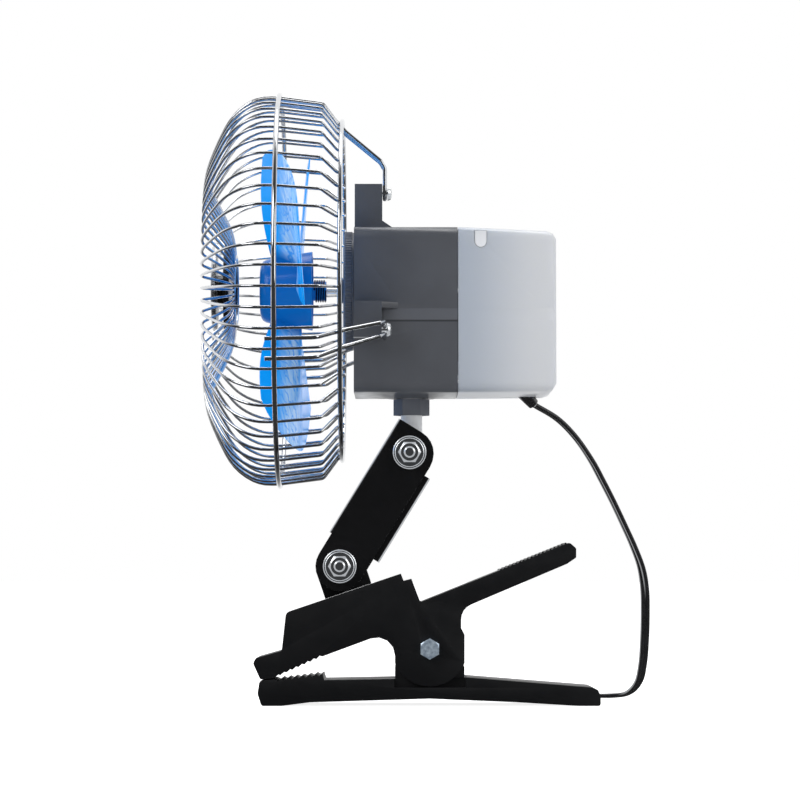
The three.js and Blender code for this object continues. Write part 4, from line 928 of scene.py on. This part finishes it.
# ------------------------------------------------------------------ lead
# Millimetres. The lead starts in its boot, sags behind the fan and runs along the floor.
LEAD_EXIT = (68.03, 23.77, 151.97)
LEAD_ROUTE = (
    (80.1, 29.5, 145),
    (89.3, 33.5, 136),
    (97.7, 37, 124.2),
    (103.4, 40, 114),
    (109.1, 43, 103.2),
    (114.9, 46, 91.3),
    (120.4, 49.2, 79.5),
    (124.4, 52.5, 69),
    (126.4, 56, 58),
    (127, 61, 45),
    (127, 67, 31),
    (126.4, 73, 18.5),
    (124.5, 79, 8.8),
    (119, 86.5, 2.6),
    (110, 91.5, 1.2),
    (96, 93.5, 1.2),
    (76, 93.2, 1.2),
    (50, 92.56, 1.2),
    (24, 92.56, 1.2),
)
LEAD_TAIL = (  # from the coil's end: across, back, and height
    (-0.3, 8, None),
    (0, 18, 3.4),
    (4, 28, 1.5),
    (12, 37, 1.3),
    (23, 44, 1.6),
    (34, 51, 3.6),
    (42, 59, 7.6),
)
COIL_AT = (4.0, 128.0)  # x and y of its axis
COIL_TURNS = 6.25
COIL_STEPS = 225
COIL_MIDDLE = 27  # radius at the middle of its turns
COIL_GAP = 0.6  # from turn to turn, and from layer to layer
PLUG = (14.0, 206.0, 10.8)  # where the lead enters it


def coil_point(turn):
    """The coil winds in along the floor, climbs a layer at its turning point, and winds out."""
    half = COIL_TURNS / 2
    pitch = LEAD_WIDE + COIL_GAP
    radius = COIL_MIDDLE + pitch * half / 2 - pitch * (half - abs(turn - half))
    climbed = min(1, max(0, (turn - half) / 0.5 + 0.5))
    angle = -math.pi / 2 - TURN * turn
    return (
        COIL_AT[0] + radius * math.cos(angle),
        COIL_AT[1] + radius * math.sin(angle),
        LEAD_THICK / 2 + (LEAD_THICK + COIL_GAP) * climbed,
    )


def lead_path():
    """The whole lead's middle line, from the boot to the plug."""
    loops = [coil_point(COIL_TURNS * i / COIL_STEPS) for i in range(COIL_STEPS + 1)]
    end = Vector(loops[-1]) + Vector((0, LEAD_WIDE, 0))
    tail = [
        end,
        *((end.x + x, end.y + y, end.z if z is None else z) for x, y, z in LEAD_TAIL),
        (PLUG[0], PLUG[1] - 5, PLUG[2]),
        (PLUG[0], PLUG[1] + 1, PLUG[2]),
    ]
    start = (loops[0][0] + LEAD_WIDE, loops[0][1], loops[0][2])
    down = flowing([LEAD_EXIT, *LEAD_ROUTE, start], 7)
    return [Vector(p) for p in (*down, *loops, *flowing(tail, 6))]


def twin_section():
    """Two round cores side by side under one jacket, with a groove between them."""
    lobe = LEAD_THICK / 2
    centre = LEAD_WIDE / 2 - lobe
    groove = 0.62 * lobe
    angles = [math.radians(d) for d in range(-120, 121, 30)]
    right = [(centre + lobe * math.cos(a), lobe * math.sin(a)) for a in angles]
    left = [(-x, -y) for x, y in right]
    return [*right, (0, groove), *left, (0, -groove)]


class FAN_OT_lead(bpy.types.Operator):
    """The flat twin lead, its boot, its coil behind the clip, and its vehicle plug"""

    bl_idname = "clip_fan.lead"
    bl_label = "Lead and plug"

    def execute(self, context):
        path = lead_path()
        section = twin_section()
        spots = []
        for i, here in enumerate(path):
            along = (path[min(i + 1, len(path) - 1)] - path[max(i - 1, 0)]).normalized()
            across = along.cross(Vector((0, 0, 1))).normalized()
            up = across.cross(along)
            spots.extend(here + across * x + up * y for x, y in section)
        lead = from_faces(
            "flat_lead",
            spots,
            laced(len(path), len(section)),
            "jacket",
            "head",
            ["cord_tube", "cord_coil", "cord_tail"],
            50,
        )
        eased("cord_boot", "jacket", 0.5, name="cord_gland")
        plug = eased("plug_body", "clip", 0.35, sharp=25, name="plug_grip")
        tip = eased("plug_tip", "brass", 0.25, name="plug_nose_pin")
        springs = [
            eased(f"plug_contact_{side}", "brass", 0.1, name=f"plug_spring_{side}")
            for side in ("left", "right")
        ]
        return {"FINISHED"}


# ------------------------------------------------------------------ clip and arm
class FAN_OT_clip(bpy.types.Operator):
    """The two jaws, the ribs on the handle, and the coiled spring that closes them"""

    bl_idname = "clip_fan.clip"
    bl_label = "Clip"

    def execute(self, context):
        eased("lower_jaw", "clip", 0.35)
        eased("upper_jaw", "clip", 0.4)
        self.grip_ribs()
        self.spring()
        return {"FINISHED"}

    def grip_ribs(self):
        """Fine cross ribs on the end of the handle's top, where the thumb presses."""
        slope = math.radians(21.8)
        root_x, root_z = 9.3, 51.5
        first_x, pitch, count = 49, 1.9, 18
        section = ((0, -0.2), (0.2, 0.55), (0.9, 0.55), (1.1, -0.2))
        half = span("upper_jaw", "y")[1] - 2
        along = Vector((math.cos(slope), 0, math.sin(slope)))
        up = Vector((-along.z, 0, along.x))
        root = Vector((root_x, 0, root_z))
        parts = []
        for k in range(count):
            start = (first_x - root_x + pitch * k) / along.x
            corners = [root + along * (start + a) + up * b for a, b in section]
            spots = [(c.x, side * half, c.z) for side in (-1, 1) for c in corners]
            faces = [(0, 1, 2, 3), (4, 5, 6, 7)]
            faces += [(i, (i + 1) % 4, 4 + (i + 1) % 4, 4 + i) for i in range(4)]
            parts.append((spots, faces))
        from_faces("handle_ribs", *gathered(*parts), "clip", "upper_jaw", sharp=20)

    def spring(self):
        """A torsion coil round the pivot bolt, with a straight leg under each jaw."""
        x0, z0 = CLIP_PIVOT
        reach, half, wire = 7.5, 8, 1.1
        whole_turns, steps_a_turn = 4, 28
        legs = ((10, 17.8), (17, -12.4))
        start, end = (
            math.atan2(z, x) + side * math.acos(reach / math.hypot(x, z))
            for (x, z), side in zip(legs, (1, -1))
        )
        while end < start + whole_turns * TURN:
            end += TURN
        steps = round((end - start) / TURN * steps_a_turn)
        place = at_joint(x0, z0)
        points = [(x0 + legs[0][0], -half, z0 + legs[0][1])]
        for i in range(steps + 1):
            share = i / steps
            points.append(place(half * (2 * share - 1), reach, start + (end - start) * share))
        points.append((x0 + legs[1][0], half, z0 + legs[1][1]))
        from_faces(
            "clip_coil_spring", *tube(points, wire), "spring", "lower_jaw", ["clip_spring"], 60
        )


class FAN_OT_arm(bpy.types.Operator):
    """The steel ears on the clip and the two folded channels of the arm"""

    bl_idname = "clip_fan.arm"
    bl_label = "Arm"

    def execute(self, context):
        eased("jaw_bracket", "steel", 0.3, moved=(0.08, 0, -0.24))
        for node in ("arm_front_channel", "arm_rear_channel"):
            eased(node, "steel", 0.35, fold=1.6)
        return {"FINISHED"}


# ------------------------------------------------------------------ joint hardware
def hexagon(across, low, high, bore, place, turn=0.0, chamfer_low=True, crown=0.97):
    """A nut or bolt head: six flats, cone-cut corners, and either a hole or a flat top.

    crown is how much of the width across flats the top's flat ring takes.
    """
    sector = TURN / 6
    flat = across / 2 * crown
    cone = math.tan(math.radians(28))

    def outline(angle):
        out = across / 2 / math.cos((angle - turn) % sector - sector / 2)
        drop = (out - flat) * cone
        return [
            (low, bore),
            (low, flat if chamfer_low else out),
            (low + (drop if chamfer_low else POINT), out),
            (high - drop, out),
            (high, flat),
            (high, bore),
        ]

    return spun(outline, 72, place, closed=True)


def threaded(radius, low, high, place):
    """A bolt's end with its thread and its chamfered tip. The tip is at low."""
    pitch, depth = 1.0, 0.32
    profile = [(low, POINT), (low, radius * 0.72), (low + 0.5, radius - 0.1)]
    along = low + 0.7
    while along < high:
        profile += [
            (along, radius - depth),
            (along + pitch * 0.45, radius),
            (along + pitch * 0.6, radius),
        ]
        along += pitch
    profile += [(high, radius - depth), (high, POINT)]
    return spun(profile, 24, place)


def shank(low, high, radius, place, sides=32):
    """A plain round stretch with closed ends."""
    return spun([(low, POINT), (low, radius), (high, radius), (high, POINT)], sides, place)


def pan_head(low, high, radius, place):
    """A rounded screw head with a crossed driver recess."""
    sides, recess = 48, 1.1

    def outline(angle):
        sunk = recess * max(0.0, math.cos(4 * angle)) ** 2
        return [
            (low, radius * 0.98),
            (low + 0.5, radius),
            (high - 0.55, radius * 0.86),
            (high - 0.15, radius * 0.6),
            (high - sunk, radius * 0.42),
            (high - sunk, radius * 0.16),
        ]

    spots, faces = spun(outline, sides, place)
    rows = len(spots) // sides
    faces += [tuple(range(first, len(spots), rows)) for first in (0, rows - 1)]
    return spots, faces


class FAN_OT_hardware(bpy.types.Operator):
    """Bolts, nuts, washers and small screws, with their chamfers, threads and driver recesses"""

    bl_idname = "clip_fan.hardware"
    bl_label = "Bolts and screws"

    def execute(self, context):
        self.joint("lower", at_joint(*LOWER_JOINT))
        self.joint("upper", at_joint(*UPPER_JOINT))
        self.pivot_bolt()
        self.guard_screws()
        for node in (
            "cover_screw_near",
            "cover_screw_far",
            "bracket_screw_front",
            "bracket_screw_rear",
        ):
            eased(node, "zinc", 0.15)
        return {"FINISHED"}

    def joint(self, joint, place):
        """A bolt through the arm, its nut on the near side, and a washer under each."""
        nut, bolt = f"{joint}_joint_nut", f"{joint}_joint_bolt"
        near, far = span(nut, "y")
        made = hexagon(10, near, far, 2.6, place, crown=0.87)
        from_faces(f"{joint}_nut", *made, "zinc", "arm", [nut], 20)
        tip, back = span(bolt, "y")
        made = gathered(
            threaded(THREAD_R, tip, far + 2, place),
            shank(far + 1.9, back - 3.9, BOLT_R, place),
            hexagon(10, back - 4, back, POINT, place, 0.5, chamfer_low=False),
        )
        from_faces(f"{joint}_bolt", *made, "zinc", "arm", [bolt], 25)
        for side in ("near", "far"):
            washer = f"{joint}_washer_{side}"
            a, b = span(washer, "y")
            outline = [
                (a, 3.4), (a, 7.0), (a + 0.12, 7.2), (a, 7.4), (a, 7.9), (a + 0.35, 8.4),
                (b - 0.3, 8.4), (b, 8.0), (b, 3.4), (a, 3.4),
            ]
            made = spun(outline, 64, place)
            from_faces(f"{joint}_{side}_washer", *made, "zinc", "arm", [washer], 20)

    def pivot_bolt(self):
        """The bolt that the jaws turn on: a plain head on the near side, a nut on the far one."""
        place = at_joint(*CLIP_PIVOT)
        face, end = span("clip_pivot_bolt", "y")
        made = gathered(
            hexagon(9.1, face, face + 3.4, POINT, place, 0.52),
            shank(face + 3.3, end - 8, BOLT_R, place),
            threaded(THREAD_R, -end, -(end - 8.2), at_joint(*CLIP_PIVOT, -1)),
        )
        from_faces("pivot_bolt", *made, "pivot", "lower_jaw", ["clip_pivot_bolt"], 25)
        made = hexagon(10, *span("clip_pivot_nut", "y"), 3.1, place, 0.2)
        from_faces("pivot_nut", *made, "zinc", "lower_jaw", ["clip_pivot_nut"], 20)

    def guard_screws(self):
        """A pan-head screw through the eye of each guard bracket."""
        for side, (degrees, _) in BRACKETS.items():
            _, y0, z0 = on_axle(0, SCREW_R, math.radians(degrees))

            def place(along, out, angle, y0=y0, z0=z0):
                return (along, y0 + out * math.cos(angle), z0 + out * math.sin(angle))

            end, top = span(f"guard_screw_{side}", "x")
            point = [(top - 2.1, 1.4), (end + 0.6, 1.4), (end, 0.9), (end, POINT)]
            made = gathered(pan_head(top - 2.2, top, 3.75, place), spun(point, 20, place))
            from_faces(
                f"guard_{side}_screw", *made, "zinc", "head", [f"guard_screw_{side}"], 30
            )


# ------------------------------------------------------------------ neck, housing, motor
class FAN_OT_neck(bpy.types.Operator):
    """The post that the head turns on, its collar, and the crank link that swings the head"""

    bl_idname = "clip_fan.neck"
    bl_label = "Neck"

    def execute(self, context):
        self.post()
        eased("neck_collar", "collar", 0.4)
        for node in ("spindle_nut", "fixed_lever", "crank_link"):
            eased(node, "zinc", 0.15)
        return {"FINISHED"}

    def post(self):
        """A round post that grows out of an eye on the arm's upper bolt."""
        half, top = span("neck_post", "y")[1], span("neck_post", "z")[1]
        bore, eye_r, stem_r = 3.3, 7.6, 5.4
        foot = UPPER_JOINT[1] + 4.5
        eye = [
            (-half, bore),
            (-half, eye_r - 0.5),
            (0.5 - half, eye_r),
            (half - 0.5, eye_r),
            (half, eye_r - 0.5),
            (half, bore),
            (-half, bore),
        ]
        stem = [
            (foot, POINT),
            (foot, stem_r),
            (top - 0.4, stem_r),
            (top, stem_r - 0.4),
            (top, POINT),
        ]

        def upright(along, out, angle):
            return (NECK_X + out * math.cos(angle), out * math.sin(angle), along)

        made = gathered(spun(eye, 48, at_joint(*UPPER_JOINT)), spun(stem, 48, upright))
        from_faces("neck_post_skin", *made, "post", "neck", ["neck_post"], 30)


class FAN_OT_housing(bpy.types.Operator):
    """The two halves of the housing, with their lugs, screw plugs and switch"""

    bl_idname = "clip_fan.housing"
    bl_label = "Housing"

    def execute(self, context):
        for node, finish in (("front_housing", "housing"), ("rear_cover", "cover")):
            eased(node, finish, 0.5, 28, creases=(191, 197))
        for side, way in (("near", -1), ("far", 1)):
            self.plug(side, way)
        for node in ("switch_bezel", "switch_rocker"):
            eased(node, "clip", 0.3)
        return {"FINISHED"}

    def plug(self, side, way):
        """A pale plug over each cover screw: half round below, straight above."""
        x0, z0, r, rise = 39.3, 230.4, 2.85, 5.2
        inner, outer = 34.3, 37.6
        angles = [math.radians(d) for d in range(180, 361, 12)]
        rim = [(x0 + r * math.cos(a), z0 + r * math.sin(a)) for a in angles]
        rim += [(x0 + r, z0 + rise), (x0 - r, z0 + rise)]
        spots = [(x, way * y, z) for y in (inner, outer) for x, z in rim]
        from_faces(f"cover_plug_{side}", spots, laced(2, len(rim)), "plug", "head")


class FAN_OT_motor(bpy.types.Operator):
    """The motor's nose, which shows through the guard, and the drive inside the housing"""

    bl_idname = "clip_fan.motor"
    bl_label = "Motor and drive"

    def execute(self, context):
        self.nose()
        for node, finish, width in (
            ("motor_can", "zinc", 0.3),
            ("motor_shaft", "zinc", 0.15),
            ("worm", "brass", 0.08),
            ("worm_wheel", "nylon", 0.1),
            ("gear_case", "clip", 0.3),
        ):
            eased(node, finish, width)
        return {"FINISHED"}

    def nose(self):
        """A round cap whose rim is ribbed all round."""
        front, back = span("motor_nose", "x")
        plate = -24.0  # the housing's front
        bore, boss, cap, rim = 2.1, 5.5, 29.6, 30
        ribs, steps_a_rib, depth = 110, 4, 0.35
        sides = ribs * steps_a_rib

        def outline(angle):
            step = round(angle / TURN * sides) % steps_a_rib
            groove = depth if step >= steps_a_rib / 2 else 0.0
            return [
                (front, bore), (front, boss - 0.3), (front + 0.5, boss), (plate - 5.6, 6.3),
                (plate - 5.0, 7.4), (plate - 5.0, 27.6), (plate - 4.9, 28.6),
                (plate - 4.5, cap - groove), (plate - 4.1, rim - groove),
                (plate - 1.0, rim - groove), (plate - 0.7, cap), (plate - 0.3, cap), (plate, cap),
                (plate, boss), (back, boss), (back, bore), (front, bore),
            ]

        made = spun(outline, sides, on_axle)
        from_faces("ribbed_nose", *made, "nose", "head", ["motor_nose"], 30)


# ------------------------------------------------------------------ rotor
# Millimetres. Fronts, rears and the blades' middle are places along the axle. A blade's edges lie
# BLADE_TRAIL to either side of its middle, and BLADE_SCOOP brings the front one further forward.
HUB_FRONT, HUB_REAR, HUB_R, HUB_NOSE_R, HUB_WALL = -71.5, -45, 20, 16.4, 2
BOSS_R, BOSS_REAR = 4.85, -38
BLADE_TIP, BLADE_ARC = 81, math.radians(77)
BLADE_MIDDLE, BLADE_TRAIL, BLADE_SCOOP = -51.2, 4, 14
FIRST_BLADE = 28.5  # degrees above level on the near side


def blade_point(turn, out, across, lift, thick):
    """A point of one blade: out runs from hub to tip, across from rear (-1) to front edge (1).

    The blade fans out from a narrower root, rounds off at its front corner, and its front half
    turns and swells forward more than its rear half trails.
    """
    spread = min(1, out / 0.6)
    full = 0.8 + 0.2 * spread * (2 - spread)
    angle = turn + BLADE_ARC / 2 * full * across
    root = HUB_R - 3
    forward = max(0, across)
    rounding = 1 - 0.1 * across**4 - 0.06 * forward**14
    radius = root + (BLADE_TIP - root) * out * rounding
    if across < 0:
        twist = 1.35 * out - 0.35
    else:
        twist = 0.77 + 0.23 * out + 0.16 * math.sin(math.pi * out)
    sweep = twist * (BLADE_TRAIL * across + BLADE_SCOOP * forward**2)
    return on_axle(BLADE_MIDDLE - sweep + lift * thick / 2, radius, angle)


def blade(turn, thick):
    """One broad blade, thinned to its edges."""
    rows, columns = 26, 22
    spots, faces = [], []
    for lift in (-1, 1):
        for i in range(rows):
            for k in range(columns):
                out, across = i / (rows - 1), 2 * k / (columns - 1) - 1
                edge = min(1.0, (1 - abs(across)) * 9, (1 - out) * 12) ** 0.5
                spots.append(blade_point(turn, out, across, lift, thick * (0.35 + 0.65 * edge)))
    layer = rows * columns
    for i in range(rows - 1):
        for k in range(columns - 1):
            a, b = i * columns + k, (i + 1) * columns + k
            faces.append((a, b, b + 1, a + 1))
            faces.append((layer + a, layer + a + 1, layer + b + 1, layer + b))
    rim = list(range(columns))
    rim += [i * columns + columns - 1 for i in range(1, rows)]
    rim += [(rows - 1) * columns + k for k in range(columns - 2, -1, -1)]
    rim += [i * columns for i in range(rows - 2, 0, -1)]
    for a, b in zip(rim, rim[1:] + rim[:1]):
        faces.append((a, b, layer + b, layer + a))
    return spots, faces


class FAN_OT_rotor(bpy.types.Operator):
    """The hub with its three blades, and the coiled wire clamp that holds it on the shaft"""

    bl_idname = "clip_fan.rotor"
    bl_label = "Rotor"

    def execute(self, context):
        thick = context.scene.clip_fan.blade_thickness / MM
        front, rear, nose, bore = HUB_FRONT, HUB_REAR, HUB_NOSE_R, 2.0
        profile = [
            (front, POINT), (front, nose - 5), (front + 0.3, nose - 3.2), (front + 1.4, nose - 1.4),
            (front + 3, nose - 0.5), (front + 5, nose), (rear - 0.3, HUB_R), (rear, HUB_R - 0.3),
            (rear, HUB_R - HUB_WALL), (front + 6, nose - HUB_WALL), (front + 3, nose - 6),
            (front + 3, BOSS_R), (BOSS_REAR, BOSS_R), (BOSS_REAR, bore), (front + 4, bore),
            (front + 4, POINT),
        ]
        turns = [math.radians(FIRST_BLADE + 120 * i) for i in range(3)]
        made = gathered(spun(profile, 96, on_axle), *(blade(turn, thick) for turn in turns))
        from_faces("clear_rotor", *made, "rotor", "rotor", ["fan_rotor"], 35)
        self.clamp()
        return {"FINISHED"}

    def clamp(self):
        """A few turns of wire wound tight round the hub's boss."""
        wire, turns, pitch, steps_a_turn = 0.42, 5, 1.15, 36
        middle = (HUB_REAR + BOSS_REAR) / 2 + 0.3
        radius = BOSS_R + 0.05 + wire
        points = []
        for i in range(turns * steps_a_turn + 1):
            turn = i / steps_a_turn
            points.append(on_axle(middle + pitch * (turn - turns / 2), radius, TURN * turn))
        from_faces("wire_clamp", *tube(points, wire, 8), "spring", "rotor", ["hub_clamp"], 60)


# ------------------------------------------------------------------ guard
# Millimetres: a place along the axle, and the distance from it. A wire's points have a third
# number, always 0, so that they can be bent and smoothed as points in space.
WIRE_SIDE = ((-29.6, 83.4, 0), (-31.9, 84.6, 0), (-39.5, 94.9, 0), (-61.4, 97.7, 0))
WIRE_FRONT = (
    (-61.4, 97.7, 0), (-69, 97.7, 0), (-75, 96.0, 0), (-81.4, 91.8, 0), (-86.4, 86.2, 0),
    (-90.4, 79, 0), (-94, 71.3, 0), (-97, 63.5, 0), (-98.1, 58, 0), (-97.6, 53.5, 0),
    (-95.3, 48.6, 0), (-91.6, 41.6, 0), (-89.3, 37, 0), (-86.6, 31, 0), (-84.9, 24.5, 0),
    (-84.1, 17.2, 0),
)
FRONT_RING = (-61.4, 98.75)
REAR_RING = (-30.0, 85.75)
HUB_RING = (-83.9, 17.7)
BRACKET_LEG = ((-66.0, 97.3), (-43, 95.3), (-40.6, 94.4), (-28.2, 80.9), (-10.8, 66.4))
BRACKET_EYE_X, BRACKET_EYE_R, BRACKET_KNEE = -8.5, 3, 62.5


def wire_run():
    """The run of one guard wire, as (x, distance from the axle), from rear ring to middle."""
    side = bend(WIRE_SIDE, 3.5, 4)
    return [(p[0], p[1]) for p in (*side[:-1], *flowing(WIRE_FRONT, 2))]


def round_screw(screw_at, x, r, off):
    """A point r from the axle towards a bracket's screw, and off to the side of that line."""
    return (
        x,
        -r * math.cos(screw_at) + off * math.sin(screw_at),
        AXLE_Z + r * math.sin(screw_at) + off * math.cos(screw_at),
    )


class FAN_OT_guard(bpy.types.Operator):
    """The bent wires, the rings that they are welded to, and the guard's three brackets"""

    bl_idname = "clip_fan.guard"
    bl_label = "Guard"

    def execute(self, context):
        look = context.scene.clip_fan
        radius, count, run = look.wire_diameter / MM / 2, look.wire_count, wire_run()
        wires = []
        for i in range(count):
            phi = TURN * (i + 0.5) / count
            wires.append(tube([on_axle(x, r, phi) for x, r in run], radius, 8))
        wires.append(self.ring(HUB_RING, 96, 0.9, 8))
        quarters = [node for node in frame["nodes"] if node.startswith("guard_spokes")]
        from_faces("guard_wires", *gathered(*wires), "chrome", "head", quarters, 60)
        for name, place, wire in (
            ("front", FRONT_RING, look.ring_diameter / MM / 2),
            ("rear", REAR_RING, look.rear_ring_diameter / MM / 2),
        ):
            made = self.ring(place, 180, wire, 12)
            from_faces(f"{name}_ring", *made, "chrome", "head", [f"guard_{name}_ring"], 60)
        for side, (degrees, lean) in BRACKETS.items():
            wire = look.bracket_diameter / MM / 2
            self.bracket(side, math.radians(degrees), math.radians(lean), wire)
        return {"FINISHED"}

    def ring(self, place, steps, wire, sides):
        """A closed round ring about the axle, at place = (x, radius)."""
        loop = [on_axle(*place, TURN * k / steps) for k in range(steps)]
        return tube(loop, wire, sides, closed=True)

    def bracket(self, side, screw_at, lean, wire):
        """A U of wire: from the front ring, back between the guard's wires, and round its screw."""
        x, eye = BRACKET_EYE_X, BRACKET_EYE_R
        spread = math.tan(math.radians(3))  # half the angle from wire to wire
        leg = [*BRACKET_LEG, (x, BRACKET_KNEE), (x, SCREW_R + eye)]
        down, back = (
            bend(
                [
                    round_screw(
                        screw_at + (lean if r > SCREW_R + 9 else 0),
                        along,
                        r,
                        way * max(eye, r * spread),
                    )
                    for along, r in leg
                ],
                4,
            )
            for way in (-1, 1)
        )
        turn = []
        for i in range(1, 12):
            angle = math.pi * i / 12
            r, off = SCREW_R - eye * math.sin(angle), -eye * math.cos(angle)
            turn.append(round_screw(screw_at, x, r, off))
        made = tube([*down, *turn, *back[::-1]], wire)
        from_faces(f"{side}_bracket", *made, "chrome", "head", [f"guard_bracket_{side}"], 60)


class FAN_OT_badge(bpy.types.Operator):
    """The plain black disc in the guard's middle, with its satin cap"""

    bl_idname = "clip_fan.badge"
    bl_label = "Badge"

    def execute(self, context):
        cap, rear = span("badge_disc", "x")
        front = rear - 3
        stem, rim = 8, 24.5
        plate = [
            (rear, POINT), (rear, rim - 0.7), (rear - 0.9, rim), (rear - 2.1, rim),
            (front + 0.2, rim - 0.6), (front, rim - 1.3), (front, stem + 0.6),
            (front - 0.4, stem), (cap, stem), (cap, POINT),
        ]
        made = spun(plate, 96, on_axle)
        from_faces("badge_plate", *made, "badge", "head", ["badge_disc"], 30)
        front, rear = span("badge_cap", "x")
        rim, crown = 19.5, 12
        foil = [
            (rear, POINT), (rear, rim - 0.3), (rear - 0.3, rim), (rear - 1.6, rim),
            (rear - 2.2, rim - 0.5), (rear - 2.5, rim - 1.5), (front, crown), (front, POINT),
        ]
        from_faces("badge_foil", *spun(foil, 96, on_axle), "foil", "head", ["badge_cap"], 30)
        return {"FINISHED"}


# ------------------------------------------------------------------ panel and running
class FAN_PT_panel(bpy.types.Panel):
    """Lists the fan's settings and the steps that build it"""

    bl_label = "Clip fan"
    bl_idname = "FAN_PT_panel"
    bl_space_type = "VIEW_3D"
    bl_region_type = "UI"
    bl_category = "Clip fan"

    def draw(self, context):
        settings = context.scene.clip_fan
        for name in settings.bl_rna.properties.keys():
            if name not in {"rna_type", "name"}:
                self.layout.prop(settings, name)
        for step in STEPS:
            self.layout.operator(step.bl_idname)


STEPS = (
    FAN_OT_stage,
    FAN_OT_lead,
    FAN_OT_clip,
    FAN_OT_arm,
    FAN_OT_hardware,
    FAN_OT_neck,
    FAN_OT_housing,
    FAN_OT_motor,
    FAN_OT_rotor,
    FAN_OT_guard,
    FAN_OT_badge,
)
CLASSES = (ClipFanSettings, *STEPS, FAN_PT_panel)


def register():
    for item in CLASSES:
        bpy.utils.register_class(item)
    bpy.types.Scene.clip_fan = PointerProperty(type=ClipFanSettings)


def unregister():
    del bpy.types.Scene.clip_fan
    for item in reversed(CLASSES):
        bpy.utils.unregister_class(item)


def main():
    """Builds the whole fan in order."""
    register()
    for step in STEPS:
        group, name = step.bl_idname.split(".")
        getattr(getattr(bpy.ops, group), name)()


if __name__ == "__main__":
    main()
